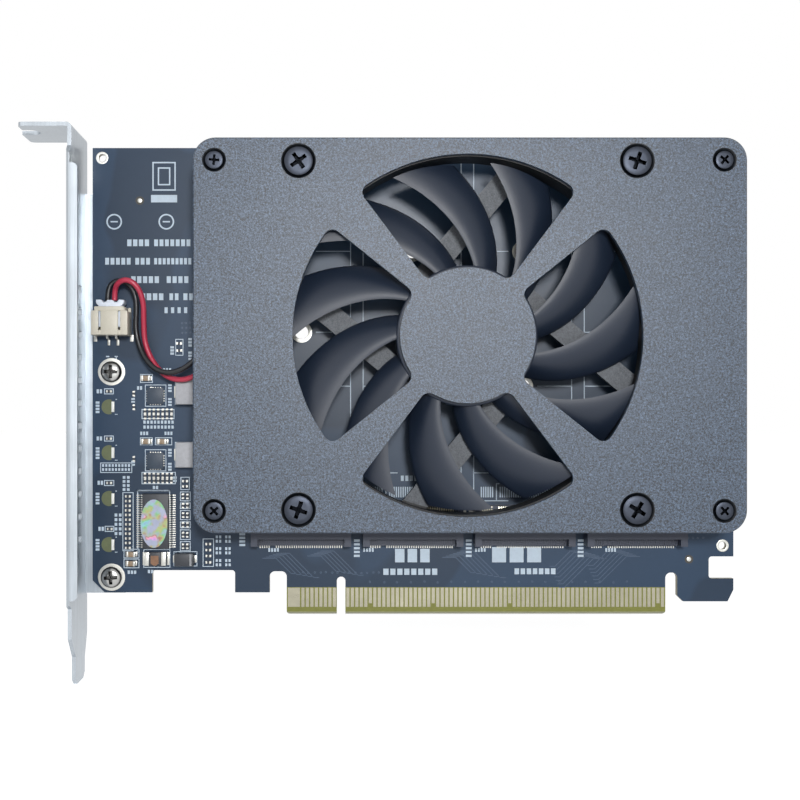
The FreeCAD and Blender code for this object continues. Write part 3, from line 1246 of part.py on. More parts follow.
def make_regulators():
    bodies, pads = [], []
    for number, v in enumerate(("chip_high", "chip_low")):
        bodies.append(block(f"Regulator_{number}", "chip_u", v, "part_stand", "chip_side", "chip_side",
                            "chip_tall"))
        for place in range(-2, 3):
            for side in (-1, 1):
                along = f"({place}) * pad_pitch"
                across = f"({side}) * (chip_side + pad_long) / 2"
                name = f"Pad_{number}_{place + 2}_{side + 1}"
                pads.append(block(name + "u", f"chip_u + {across}", f"{v} + {along}", 0, "pad_long",
                                  "pad_wide", "pad_thick"))
                pads.append(block(name + "v", f"chip_u + {along}", f"{v} + {across}", 0, "pad_wide",
                                  "pad_long", "pad_thick"))
    seat(group("Regulators", bodies), "regulator_chips")
    return pads


def make_chokes():
    bodies, ends = [], []
    for number, v in enumerate(("choke_high", "choke_low")):
        name = f"Choke_{number}"
        bodies.append(block(name, "choke_u", v, 0, "choke_wide", "choke_long", "choke_tall"))
        ends += tongues(name, "choke_u", v, "choke_wide", "choke_long / 2", "choke_tall / 3", "choke_tongue")
    seat(group("Chokes", bodies), "power_inductors")
    return ends


def make_chip_parts():
    """Capacitors, resistors, fuse, diode and lamps; gives their end caps."""
    ends = []
    bodies = []
    for number, (u, v) in enumerate(CAPACITORS):
        body, caps = two_ended(f"Cap_{number}", u, v, "cap_wide", "cap_long", "cap_tall", "cap_end")
        bodies.append(body)
        ends += caps
    seat(group("Capacitors", bodies), "ceramic_capacitors")
    bodies = []
    for first_u, first_v, columns, rows, step_u, step_v in RESISTOR_ROWS:
        for column in range(columns):
            for row in range(rows):
                u = f"{first_u} + {column} * {step_u}"
                v = f"{first_v} + {row} * {step_v}"
                body, caps = two_ended(f"Resistor_{len(bodies)}", u, v, "chip_res_wide", "chip_res_long",
                                       "chip_res_tall", "chip_res_end")
                bodies.append(body)
                ends += caps
    seat(group("Resistors", bodies), "chip_resistors")
    body, caps = two_ended("Fuse", "fuse_u", "fuse_v", "fuse_wide", "fuse_long", "fuse_tall", "fuse_end")
    seat(group("FuseBody", [body]), "fuse")
    ends += caps
    diode = block("Diode", "diode_u", "diode_v", "0", "diode_wide", "diode_long", "diode_tall")
    seat(group("DiodeBody", [diode]), "diode")
    ends += tongues("Diode", "diode_u", "diode_v", "diode_wide", "diode_long / 2", "0.3", "diode_tongue")
    lamps = [block(f"Lamp_{number}", "lamp_u", f"lamp_low + {number} * lamp_pitch", 0, "lamp_wide",
                   "lamp_long", "lamp_tall") for number in range(len(SOCKETS))]
    seat(group("Lamps", lamps), "indicator_leds")
    return ends


def make_clock():
    """The clock chip with a gull-wing lead row on each long side, and its oval sticker."""
    chip = block("ClockChip", "clock_u", "clock_v", "clock_stand", "clock_wide", "clock_long", "clock_tall")
    seat(group("ClockChipBody", [chip]), "clock_chip")
    knee = "(lead_reach - lead_foot)"
    profile = [
        ("0", "lead_knee"),
        (f"{knee} / 2 + lead_sheet", "lead_knee"),
        (f"{knee} + lead_sheet", "lead_sheet"),
        ("lead_reach", "lead_sheet"),
        ("lead_reach", "0"),
        (knee, "0"),
        (f"{knee} / 2", "lead_knee - lead_sheet"),
        ("0", "lead_knee - lead_sheet"),
    ]
    body = new_body("ClockLead")
    sketch = outline(body, "ClockLeadProfile", profile, "XZ_Plane")
    feature(body, "Pad", "ClockLeadPad", sketch, Length="lead_wide", Midplane=True)
    leads = []
    for side in (-1, 1):
        for place in range(int(value("lead_count"))):
            link = doc.addObject("App::Link", f"ClockLead_{side + 1}_{place}")
            link.LinkedObject = body
            link.Placement = Placement(Vector(), Rotation(Vector(0, 0, 1), 90 - 90 * side))
            leads.append(put(link, f"clock_u + ({side}) * clock_wide / 2",
                             f"clock_v + ({place} - (lead_count - 1) / 2) * lead_pitch"))
    seat(group("ClockLeads", leads), "clock_chip_leads")
    oval = doc.addObject("Part::Feature", "StickerOval")
    ellipse = Part.Ellipse(Vector(), value("sticker_long"), value("sticker_wide"))
    face = Part.Face(Part.Wire(ellipse.toShape()))
    face.rotate(Vector(), Vector(0, 0, 1), 90)
    oval.Shape = face.extrude(Vector(0, 0, value("sticker_thick")))
    seat(oval, "inspection_sticker", "sticker_u", "sticker_v", "clock_stand + clock_tall")


def make_electronics():
    make_clock()
    ends = make_regulators() + make_chokes() + make_chip_parts()
    seat(group("Terminals", ends), "part_terminals")


make_board()
make_contacts("edge_contacts_front", False)
make_contacts("edge_contacts_rear", True)
make_rings()
make_bracket()
make_fasteners()
make_cover()
make_fan_frame()
make_impeller()
make_motor()
make_header()
make_lead()
make_sockets()
make_electronics()
doc.recompute()

NODES = [
    "circuit_board", "edge_contacts_front", "edge_contacts_rear", "tooling_hole_rings", "drive_hole_rings",
    "bracket_screw_pads", "mounting_bracket", "bracket_screws", "cover_plate", "cover_standoffs",
    "cover_screws", "standoff_screws", "fan_screws", "fan_frame", "fan_impeller", "rotor_cup",
    "rotor_magnet", "motor_shaft", "shaft_clip", "bearing_sleeve", "stator_core", "stator_coils",
    "motor_board", "fan_header", "header_pins", "fan_plug", "fan_wire_black", "fan_wire_red",
    "m2_socket_1", "m2_socket_2", "m2_socket_3", "m2_socket_4", "m2_contacts", "m2_anchor_tabs",
    "m2_standoffs", "regulator_chips", "power_inductors", "ceramic_capacitors", "chip_resistors",
    "clock_chip", "clock_chip_leads", "inspection_sticker", "fuse", "diode", "indicator_leds",
    "part_terminals",
]

for item in doc.Objects:
    if "Invalid" in item.State or "Error" in item.State:
        raise RuntimeError(f"{item.Name} ({item.Label}) is {item.State}")
os.makedirs("parts", exist_ok=True)
for node in NODES:
    found = doc.getObjectsByLabel(node)
    shape = Part.getShape(found[0])
    if len(found) != 1 or shape.isNull() or not shape.isValid():
        raise RuntimeError(f"{node} is missing, doubled or not valid")
    shape.exportStep(f"parts/{node}.step")
    box = shape.BoundBox
    print(f"{node:22s} {len(shape.Solids):4d} solids {shape.Volume:10.1f} mm3"
          f"  x {box.XMin:7.2f} {box.XMax:7.2f}  y {box.YMin:7.2f} {box.YMax:7.2f}"
          f"  z {box.ZMin:7.2f} {box.ZMax:7.2f}")
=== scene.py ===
"""A four-drive adapter card for a long card-edge slot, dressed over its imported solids.

Pieces are drawn in board coordinates, in millimetres: u runs along the board, v up it,
and h out of its parts side.  BOARD stands them upright in the model's own frame.
"""
import math

import bmesh
import bpy
from bpy.props import FloatProperty, FloatVectorProperty, IntProperty, PointerProperty
from mathutils import Matrix, Vector


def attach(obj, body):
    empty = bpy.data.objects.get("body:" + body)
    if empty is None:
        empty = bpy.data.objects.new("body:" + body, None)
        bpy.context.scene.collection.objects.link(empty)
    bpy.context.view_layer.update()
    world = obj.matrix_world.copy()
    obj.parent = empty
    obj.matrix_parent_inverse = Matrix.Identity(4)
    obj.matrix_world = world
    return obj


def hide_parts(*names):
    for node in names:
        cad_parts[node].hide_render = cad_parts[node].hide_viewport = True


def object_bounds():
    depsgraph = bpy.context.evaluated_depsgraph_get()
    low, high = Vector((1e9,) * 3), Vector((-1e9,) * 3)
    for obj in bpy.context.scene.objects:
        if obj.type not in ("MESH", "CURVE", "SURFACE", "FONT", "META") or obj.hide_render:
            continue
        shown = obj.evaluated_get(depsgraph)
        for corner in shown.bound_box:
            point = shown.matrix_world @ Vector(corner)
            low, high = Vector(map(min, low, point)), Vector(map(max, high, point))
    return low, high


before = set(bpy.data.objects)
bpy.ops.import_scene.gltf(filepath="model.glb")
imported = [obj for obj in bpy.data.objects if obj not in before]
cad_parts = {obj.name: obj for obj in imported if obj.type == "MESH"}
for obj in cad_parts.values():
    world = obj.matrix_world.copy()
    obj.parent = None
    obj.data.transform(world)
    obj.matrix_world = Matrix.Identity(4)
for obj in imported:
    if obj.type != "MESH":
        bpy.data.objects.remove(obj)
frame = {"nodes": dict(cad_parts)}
CAD_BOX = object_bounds()

bl_info = {
    "name": "Drive adapter card",
    "version": (1, 0, 0),
    "blender": (4, 5, 0),
    "location": "View3D > Sidebar > Adapter card",
    "description": "Builds the card's pieces and finishes, one operator for each group of pieces",
    "category": "Object",
}

MM = 0.001
BOARD_HALF = 0.785
BOARD = Matrix(((MM, 0, 0, 0), (0, 0, -MM, -BOARD_HALF * MM), (0, MM, 0, 0), (0, 0, 0, 1)))
FAN = Vector((26.7, 61.1, 0))
COVER_TOP = 14.5
SOCKETS = [-8.8 + 24.6 * number for number in range(4)]
DRIVE_ENDS = (50.7, 62.7, 80.7, 100.7)
DRIVE_HALF = 10.9
INK_LOW, INK_TOP = -0.01, 0.022
BRACKET_SCREWS = ((-51.1, 8.2), (-51.1, 53.9))
FAN_SCREWS = (35.7, 36.8)
POST_CENTRE, POSTS = (27.0, 61.1), (53.8, 37.0)
TURN_OF_STRUT = math.radians(140)


# ------------------------------------------------------------ sizes and colours
def colour(name, default, note):
    return FloatVectorProperty(name=name, description=note, subtype="COLOR", size=3, min=0, max=1, default=default)


def length(name, default, note):
    return FloatProperty(name=name, description=note + ", in millimetres", min=0, default=default)


class BoardSettings(bpy.types.PropertyGroup):
    """Sizes and colours of the board and what is printed or plated on it."""

    mask: colour("Solder mask", (0.020, 0.046, 0.090), "Lacquer over the board")
    laminate: colour("Laminate", (0.20, 0.205, 0.045), "Bare fibreglass at the contact edge")
    ink: colour("Ink", (0.50, 0.60, 0.70), "Printed marks")
    plating: colour("Plating", (0.30, 0.285, 0.22), "Gold on the contacts")
    tin: colour("Tin", (0.50, 0.50, 0.47), "Tinned copper and solder")
    trace: length("Trace width", 0.16, "Width of a copper trace")
    line: length("Ink line", 0.17, "Width of a printed line")


class SheetSettings(bpy.types.PropertyGroup):
    """Colours of the sheet metal pieces."""

    cover: colour("Cover paint", (0.046, 0.068, 0.104), "Powder coat of the cover plate")
    cover_speckle: FloatProperty(name="Speckle", description="Contrast of the cover's speckle", min=0, max=3,
                                 default=2.6)
    bracket: colour("Bracket", (0.42, 0.46, 0.50), "Plated steel of the slot bracket")


class FanSettings(bpy.types.PropertyGroup):
    """Shape of the impeller and colours of the fan."""

    blades: IntProperty(name="Blades", description="Number of blades", min=3, max=20, default=11)
    hub: length("Hub radius", 15.0, "Radius of the impeller's hub")
    tip: length("Tip radius", 37.1, "Radius of the blade tips")
    sweep: FloatProperty(name="Sweep", description="Turn of a blade from hub to tip", subtype="ANGLE",
                         default=math.radians(31.2))
    spread: FloatProperty(name="Spread", description="Angle that a blade covers", subtype="ANGLE",
                          default=math.radians(21.4))
    thick: length("Blade thickness", 0.9, "Thickest part of a blade")
    camber: length("Camber", 0.9, "How far a blade's section bows forward")
    blade: colour("Blade", (0.009, 0.016, 0.032), "Smooth plastic of the impeller")
    frame: colour("Frame", (0.095, 0.105, 0.120), "Textured plastic of the frame")


class WireSettings(bpy.types.PropertyGroup):
    """The fan's two wires."""

    thick: length("Wire thickness", 1.2, "Thickness of a wire over its insulation")
    red: colour("Red", (0.48, 0.035, 0.075), "Insulation of the supply wire")
    black: colour("Black", (0.010, 0.011, 0.014), "Insulation of the return wire")


class StageSettings(bpy.types.PropertyGroup):
    """Light and lens."""

    key: FloatProperty(name="Key light", description="Power of the light above the camera", subtype="POWER", min=0,
                       default=2.3)
    side: FloatProperty(name="Left light", description="Power of the large soft light on the left", subtype="POWER",
                        min=0, default=0.7)
    fill: FloatProperty(name="Right light", description="Power of the large soft light on the right", subtype="POWER",
                        min=0, default=0.25)
    lens: FloatProperty(name="Lens", description="Focal length of the camera in millimetres", min=1, default=55.0)
    distance: length("Distance", 272.0, "Camera's distance from the board's front face")


# ------------------------------------------------------------ node arithmetic
class Number:
    """A number socket in a node tree; arithmetic on it adds Math nodes."""

    def __init__(self, tree, socket):
        self.tree = tree
        self.socket = socket

    def math(self, operation, *others, clamp=False):
        node = self.tree.nodes.new("ShaderNodeMath")
        node.operation = operation
        node.use_clamp = clamp
        for socket, item in zip(node.inputs, (self,) + others):
            join(self.tree, item, socket)
        return Number(self.tree, node.outputs[0])

    def __add__(self, other):
        return self.math("ADD", other)

    def __sub__(self, other):
        return self.math("SUBTRACT", other)

    def __mul__(self, other):
        return self.math("MULTIPLY", other)

    def __truediv__(self, other):
        return self.math("DIVIDE", other)

    def __neg__(self):
        return self * -1

    def sine(self):
        return self.math("SINE")

    def cosine(self):
        return self.math("COSINE")

    def between(self, low, high, soft):
        """1 between two limits, 0 outside, with soft edges."""
        rise = (self - low) / soft
        fall = (self * -1 + high) / soft
        return rise.math("MINIMUM", fall).math("ADD", 0.5, clamp=True)


def join(tree, item, socket):
    """Link a node output to a socket, or set the socket to a plain value."""
    if isinstance(item, Number):
        item = item.socket
    if isinstance(item, bpy.types.NodeSocket):
        tree.links.new(item, socket)
    else:
        socket.default_value = item


def add(tree, kind, inputs=None, output=0, **settings):
    """Add a node, set it and its inputs, and give one of its outputs."""
    node = tree.nodes.new(kind)
    for key, setting in settings.items():
        setattr(node, key, setting)
    for key, item in (inputs or {}).items():
        join(tree, item, node.inputs[key])
    return node.outputs[output]


def parts_of(tree, vector):
    """The three numbers of a vector."""
    node = tree.nodes.new("ShaderNodeSeparateXYZ")
    tree.links.new(vector, node.inputs[0])
    return [Number(tree, socket) for socket in node.outputs]


def vector_of(tree, x, y, z):
    return add(tree, "ShaderNodeCombineXYZ", {"X": x, "Y": y, "Z": z})


def ends_of(tree):
    """A group's tree, its inputs by name, and the sockets of its output node."""
    source = tree.nodes.new("NodeGroupInput")
    sink = tree.nodes.new("NodeGroupOutput")
    return tree, {socket.name: Number(tree, socket) for socket in source.outputs}, sink.inputs


# ------------------------------------------------------------ shader groups
def shader_group(name, inputs, outputs):
    """A shader node group; returns it, its inputs by name, and the sockets of its output node."""
    tree = bpy.data.node_groups.new(name, "ShaderNodeTree")
    for label, default in inputs.items():
        kind = "NodeSocketColor" if isinstance(default, tuple) else "NodeSocketFloat"
        made = tree.interface.new_socket(label, in_out="INPUT", socket_type=kind)
        made.default_value = default
    for label, kind in outputs.items():
        tree.interface.new_socket(label, in_out="OUTPUT", socket_type=kind)
    return ends_of(tree)


COLOUR, VALUE = "NodeSocketColor", "NodeSocketFloat"
GREY = (0.5, 0.5, 0.5, 1)


def object_place(tree, stretch=(1, 1, 1)):
    """Object coordinates in millimetres, stretched along the axes."""
    place = add(tree, "ShaderNodeTexCoord", output="Object")
    return add(tree, "ShaderNodeVectorMath", {0: place, 1: [1000 * part for part in stretch]}, operation="MULTIPLY")


def shaded(tree, base, factor):
    """A colour made lighter or darker by a number."""
    grey = add(tree, "ShaderNodeCombineColor", {0: factor, 1: factor, 2: factor})
    mix = tree.nodes.new("ShaderNodeMix")
    mix.data_type = "RGBA"
    mix.blend_type = "MULTIPLY"
    mix.inputs[0].default_value = 1
    join(tree, base, mix.inputs[6])
    join(tree, grey, mix.inputs[7])
    return mix.outputs[2]


def blended(tree, factor, first, second):
    """Mix two colours by a number."""
    mix = tree.nodes.new("ShaderNodeMix")
    mix.data_type = "RGBA"
    join(tree, factor, mix.inputs[0])
    join(tree, first, mix.inputs[6])
    join(tree, second, mix.inputs[7])
    return mix.outputs[2]


def noise(tree, place, scale, detail=2.0, roughness=0.5):
    found = add(tree, "ShaderNodeTexNoise", {"Vector": place, "Scale": scale, "Detail": detail,
                                             "Roughness": roughness})
    return Number(tree, found)


def speckle_group():
    """Fine light and dark grains, as in powder coat, cast plastic and ceramic."""
    tree, given, wanted = shader_group(
        "Speckle", {"Colour": GREY, "Grain": 3.0, "Contrast": 0.4}, {"Colour": COLOUR, "Height": VALUE})
    place = object_place(tree)
    grain = given["Grain"]
    fine = noise(tree, place, grain, 3.0, 0.7)
    spots = noise(tree, place, grain * 0.45, 2.0, 0.6)
    level = fine * 0.65 + spots * 0.35
    factor = (level - 0.5) * given["Contrast"] * 5.0 + 1.0
    tree.links.new(shaded(tree, given["Colour"], factor.math("MAXIMUM", 0.15)), wanted["Colour"])
    tree.links.new(level.socket, wanted["Height"])
    return tree


def handling_group():
    """Slow changes of shade and gloss, and faint wipe marks, from making and handling."""
    tree, given, wanted = shader_group(
        "Handling", {"Colour": GREY, "Roughness": 0.4, "Amount": 0.1, "Size": 0.05},
        {"Colour": COLOUR, "Roughness": VALUE})
    place = object_place(tree)
    amount = given["Amount"]
    size = given["Size"]
    slow = noise(tree, place, size, 3.0, 0.55) - 0.5
    wiped = noise(tree, object_place(tree, (0.35, 1.0, 1.6)), size * 7.0, 4.0, 0.65) - 0.5
    tree.links.new(shaded(tree, given["Colour"], slow * amount * 2.4 + 1.0), wanted["Colour"])
    gloss = given["Roughness"] + (slow * 1.2 + wiped) * amount
    tree.links.new(gloss.math("ADD", 0.0, clamp=True).socket, wanted["Roughness"])
    return tree


def grain_group():
    """Fine parallel lines, as rolled or brushed sheet and moulded threads of plastic show."""
    tree, given, wanted = shader_group(
        "Rolled grain", {"Colour": GREY, "Amount": 0.1, "Fineness": 4.0}, {"Colour": COLOUR, "Height": VALUE})
    lines = noise(tree, object_place(tree, (1.0, 1.0, 0.03)), given["Fineness"], 3.0, 0.6)
    factor = (lines - 0.5) * given["Amount"] * 3.0 + 1.0
    tree.links.new(shaded(tree, given["Colour"], factor), wanted["Colour"])
    tree.links.new(lines.socket, wanted["Height"])
    return tree


GROUPS = {"Speckle": speckle_group, "Handling": handling_group, "Rolled grain": grain_group}


def group_node(tree, name, inputs):
    """Place a shader group, built the first time it is wanted."""
    node = tree.nodes.new("ShaderNodeGroup")
    node.node_tree = bpy.data.node_groups.get(name) or GROUPS[name]()
    for key, item in inputs.items():
        join(tree, item, node.inputs[key])
    return node.outputs


def finish(name, base, rough=0.4, metal=0.0, speckle=None, grain=None, handling=(0.08, 0.05), bump=0.0, paint=None,
           **constants):
    """A material: base colour with speckle, grain and handling in it, gloss, and fine relief.

    Its name is no slot's name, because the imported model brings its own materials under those.
    """
    known = bpy.data.materials.get(name)
    if known:
        return known
    material = bpy.data.materials.new(name)
    material.use_nodes = True
    tree = material.node_tree
    shader = next(node for node in tree.nodes if node.type == "BSDF_PRINCIPLED")
    tone = (*base, 1.0)
    if paint:
        tone = paint(tree, tone)
    height = None
    if speckle:
        made = group_node(tree, "Speckle", {"Colour": tone, "Grain": speckle[0], "Contrast": speckle[1]})
        tone, height = made["Colour"], made["Height"]
    if grain:
        made = group_node(tree, "Rolled grain", {"Colour": tone, "Amount": grain[0], "Fineness": grain[1]})
        tone, height = made["Colour"], made["Height"]
    made = group_node(tree, "Handling", {"Colour": tone, "Roughness": rough, "Amount": handling[0],
                                         "Size": handling[1]})
    tree.links.new(made["Colour"], shader.inputs["Base Color"])
    tree.links.new(made["Roughness"], shader.inputs["Roughness"])
    if bump and height:
        relief = add(tree, "ShaderNodeBump", {"Strength": bump, "Distance": 0.0001, "Height": height})
        tree.links.new(relief, shader.inputs["Normal"])
    shader.inputs["Metallic"].default_value = metal
    for key, number in constants.items():
        shader.inputs[key.replace("_", " ")].default_value = number
    material.diffuse_color = (*base, 1.0)
    return material


# ------------------------------------------------------------ meshes in board coordinates
def placed(name, data):
    """A new object, linked into the scene."""
    thing = bpy.data.objects.new(name, data)
    bpy.context.scene.collection.objects.link(thing)
    return thing


def drawn(name, shape):
    """A bmesh as a mesh; the bmesh is freed."""
    mesh = bpy.data.meshes.new(name)
    shape.to_mesh(mesh)
    shape.free()
    return mesh


def keep(name, mesh, material, body="card", slot=None, replaces=(), smooth=40):
    """Name a finished mesh, place it in the model's frame and let it ride on its body."""
    mesh.name = name
    mesh.materials.clear()
    mesh.materials.append(material)
    mesh.polygons.foreach_set("material_index", [0] * len(mesh.polygons))
    if smooth:
        mesh.polygons.foreach_set("use_smooth", [True] * len(mesh.polygons))
        mesh.set_sharp_from_angle(angle=math.radians(smooth))
    piece = placed(name, mesh)
    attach(piece, body)
    if replaces:
        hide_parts(*replaces)
    return piece


def meshed(name, shape, bevel=0.0, segments=2):
    """A bmesh as a plain mesh in the model's frame, with its edges broken by a bevel."""
    bmesh.ops.recalc_face_normals(shape, faces=shape.faces)
    mesh = drawn(name, shape)
    if bevel:
        holder = placed(name + "_blank", mesh)
        edge = holder.modifiers.new("Broken edges", "BEVEL")
        edge.width = bevel
        edge.segments = segments
        edge.limit_method = "ANGLE"
        edge.angle_limit = math.radians(40)
        graph = bpy.context.evaluated_depsgraph_get()
        finished = bpy.data.meshes.new_from_object(holder.evaluated_get(graph))
        bpy.data.objects.remove(holder)
        bpy.data.meshes.remove(mesh)
        mesh = finished
    mesh.transform(BOARD)
    return mesh


def solid(name, shape, bevel, material, segments=2, **kept):
    """A bmesh as a finished piece, named, placed and riding on its body."""
    return keep(name, meshed(name, shape, bevel, segments), material, **kept)


def brick(shape, low, high):
    """Add a closed box between two corners."""
    corners = [shape.verts.new((u, v, h)) for h in (low[2], high[2]) for v in (low[1], high[1])
               for u in (low[0], high[0])]
    for ring in ((0, 2, 3, 1), (4, 5, 7, 6), (0, 1, 5, 4), (2, 6, 7, 3), (0, 4, 6, 2), (1, 3, 7, 5)):
        shape.faces.new([corners[number] for number in ring])
    return corners


def block(shape, u, v, h, wide, long, tall):
    """Add a box centred on u, v that rises from h."""
    return brick(shape, (u - wide / 2, v - long / 2, h), (u + wide / 2, v + long / 2, h + tall))


def skin(shape, rings):
    """Close a solid over rings of as many corners each, the first and last with a flat end."""
    shape.faces.new(list(reversed(rings[0])))
    shape.faces.new(rings[-1])
    count = len(rings[0])
    for first, second in zip(rings, rings[1:]):
        for number in range(count):
            after = (number + 1) % count
            shape.faces.new((first[number], first[after], second[after], second[number]))


def slab(shape, outline, low, high):
    """Add a closed prism from a flat outline."""
    skin(shape, [[shape.verts.new((u, v, h)) for u, v in outline] for h in (low, high)])


def turned(shape, profile, centre=(0, 0, 0), segments=32):
    """Add a solid of revolution about h; the profile is (radius, height) and closes on the axis or on itself."""
    rings = []
    for radius, height in profile:
        if radius < 1e-6:
            rings.append([shape.verts.new((centre[0], centre[1], centre[2] + height))])
            continue
        steps = [math.tau * step / segments for step in range(segments)]
        rings.append([shape.verts.new((centre[0] + radius * math.cos(angle), centre[1] + radius * math.sin(angle),
                                       centre[2] + height)) for angle in steps])
    closed = profile[0][0] > 1e-6
    pairs = list(zip(rings, rings[1:])) + ([(rings[-1], rings[0])] if closed else [])
    for first, second in pairs:
        for step in range(segments):
            after = (step + 1) % segments
            around = [first[step % len(first)], first[after % len(first)],
                      second[after % len(second)], second[step % len(second)]]
            face = list(dict.fromkeys(around))
            if len(face) > 2:
                shape.faces.new(face)


def strip(shape, path, half, across=(1, 0, 0)):
    """Add a flat strip with square ends along a path of (centre, half thickness vector) pairs."""
    rings = []
    side = Vector(across) * half
    for centre, lift in path:
        centre, lift = Vector(centre), Vector(lift)
        corners = (-side - lift, side - lift, side + lift, -side + lift)
        rings.append([shape.verts.new(centre + corner) for corner in corners][::-1])
    skin(shape, rings)


def master(name, shape):
    """A part to be repeated, kept out of the scene; its mesh stays in millimetres."""
    mesh = meshed(name, shape)
    mesh.transform(BOARD.inverted())
    return bpy.data.objects.new(name, mesh)


# ------------------------------------------------------------ geometry node trees
def node_tree(name, inputs):
    """A Geometry Nodes tree with a geometry input and output and named inputs for its sizes."""
    tree = bpy.data.node_groups.new(name, "GeometryNodeTree")
    tree.interface.new_socket("Geometry", in_out="OUTPUT", socket_type="NodeSocketGeometry")
    tree.interface.new_socket("Geometry", in_out="INPUT", socket_type="NodeSocketGeometry")
    for label, kind in inputs.items():
        tree.interface.new_socket(label, in_out="INPUT", socket_type="NodeSocket" + kind)
    tree.interface.new_socket("Finish", in_out="INPUT", socket_type="NodeSocketMaterial")
    return ends_of(tree)


def with_base(tree, given, copies):
    """The copies and the mesh that the tree was given, as one geometry."""
    both = tree.nodes.new("GeometryNodeJoinGeometry")
    join(tree, copies, both.inputs[0])
    join(tree, given["Geometry"], both.inputs[0])
    return both.outputs[0]


def close_tree(tree, given, wanted, geometry):
    """End a tree in Realize Instances and Set Material."""
    real = add(tree, "GeometryNodeRealizeInstances", {"Geometry": geometry})
    coated = add(tree, "GeometryNodeSetMaterial", {"Geometry": real, "Material": given["Finish"]})
    tree.links.new(coated, wanted["Geometry"])
    return tree


def row_tree():
    """Copies of one part in rows and columns, each a little turned and shifted as soldered parts are."""
    tree, given, wanted = node_tree("Rows of parts", {
        "Part": "Object", "Columns": "Int", "Rows": "Int", "Column step": "Vector", "Row step": "Vector",
        "First": "Vector", "Turn": "Float", "Play": "Float", "Seed": "Int"})
    count = given["Columns"] * given["Rows"]
    points = add(tree, "GeometryNodePoints", {"Count": count})
    index = Number(tree, add(tree, "GeometryNodeInputIndex"))
    column = index.math("MODULO", given["Columns"])
    row = (index / given["Columns"]).math("FLOOR")
    across = add(tree, "ShaderNodeVectorMath", {0: given["Column step"], "Scale": column}, operation="SCALE")
    up = add(tree, "ShaderNodeVectorMath", {0: given["Row step"], "Scale": row}, operation="SCALE")
    play = given["Play"]
    shift = add(tree, "FunctionNodeRandomValue", {
        "Min": vector_of(tree, -play, -play, 0.0), "Max": vector_of(tree, play, play, 0.0), "Seed": given["Seed"]},
        data_type="FLOAT_VECTOR")
    spot = add(tree, "ShaderNodeVectorMath", {0: across, 1: up}, operation="ADD")
    spot = add(tree, "ShaderNodeVectorMath", {0: spot, 1: given["First"]}, operation="ADD")
    spot = add(tree, "ShaderNodeVectorMath", {0: spot, 1: shift}, operation="ADD")
    set_out = add(tree, "GeometryNodeSetPosition", {"Geometry": points, "Position": spot})
    twist = add(tree, "FunctionNodeRandomValue", {2: play * -0.35, 3: play * 0.35, "Seed": given["Seed"]}, output=1,
                data_type="FLOAT")
    angle = given["Turn"] + Number(tree, twist)
    part = add(tree, "GeometryNodeObjectInfo", {"Object": given["Part"]}, output="Geometry")
    copies = add(tree, "GeometryNodeInstanceOnPoints", {
        "Points": set_out, "Instance": part, "Rotation": vector_of(tree, 0.0, 0.0, angle)})
    return close_tree(tree, given, wanted, with_base(tree, given, copies))


def screw_tree():
    """Cross-recessed screws, one on each point, each driven to its own angle."""
    tree, given, wanted = node_tree("Cross-recess screws", {
        "Blank": "Object", "Recess span": "Float", "Recess width": "Float", "Recess top": "Float",
        "Recess depth": "Float", "Seed": "Int"})
    span, width = given["Recess span"], given["Recess width"]
    depth, top = given["Recess depth"], given["Recess top"]
    arms = []
    for turn in (0, math.pi / 2):
        bar = add(tree, "GeometryNodeMeshCube", {"Size": vector_of(tree, span, width, depth * 2.0),
                                                 "Vertices X": 4, "Vertices Y": 2, "Vertices Z": 2})
        x, y, z = parts_of(tree, add(tree, "GeometryNodeInputPosition"))
        low = z.math("LESS_THAN", 0.0)
        tapered = vector_of(tree, x * (low * -0.45 + 1.0), y * (low * -0.5 + 1.0), z)
        sloped = add(tree, "GeometryNodeSetPosition", {"Geometry": bar, "Position": tapered})
        arms.append(add(tree, "GeometryNodeTransform", {
            "Geometry": sloped, "Translation": vector_of(tree, 0.0, 0.0, top), "Rotation": (0, 0, turn)}))
    tip = add(tree, "GeometryNodeMeshCone", {
        "Vertices": 16, "Radius Top": width * 0.95, "Radius Bottom": width * 0.2, "Depth": depth * 2.3})
    arms.append(add(tree, "GeometryNodeTransform", {
        "Geometry": tip, "Translation": vector_of(tree, 0.0, 0.0, top - depth * 1.35)}))
    blank = add(tree, "GeometryNodeObjectInfo", {"Object": given["Blank"]}, output="Geometry")
    for arm in arms:
        carved = tree.nodes.new("GeometryNodeMeshBoolean")
        carved.operation = "DIFFERENCE"
        carved.solver = "EXACT"
        tree.links.new(blank, carved.inputs["Mesh 1"])
        tree.links.new(arm, carved.inputs["Mesh 2"])
        blank = carved.outputs["Mesh"]
    angle = add(tree, "FunctionNodeRandomValue", {2: 0.0, 3: math.pi, "Seed": given["Seed"]}, output=1,
                data_type="FLOAT")
    copies = add(tree, "GeometryNodeInstanceOnPoints", {
        "Points": given["Geometry"], "Instance": blank, "Rotation": vector_of(tree, 0.0, 0.0, angle)})
    return close_tree(tree, given, wanted, copies)


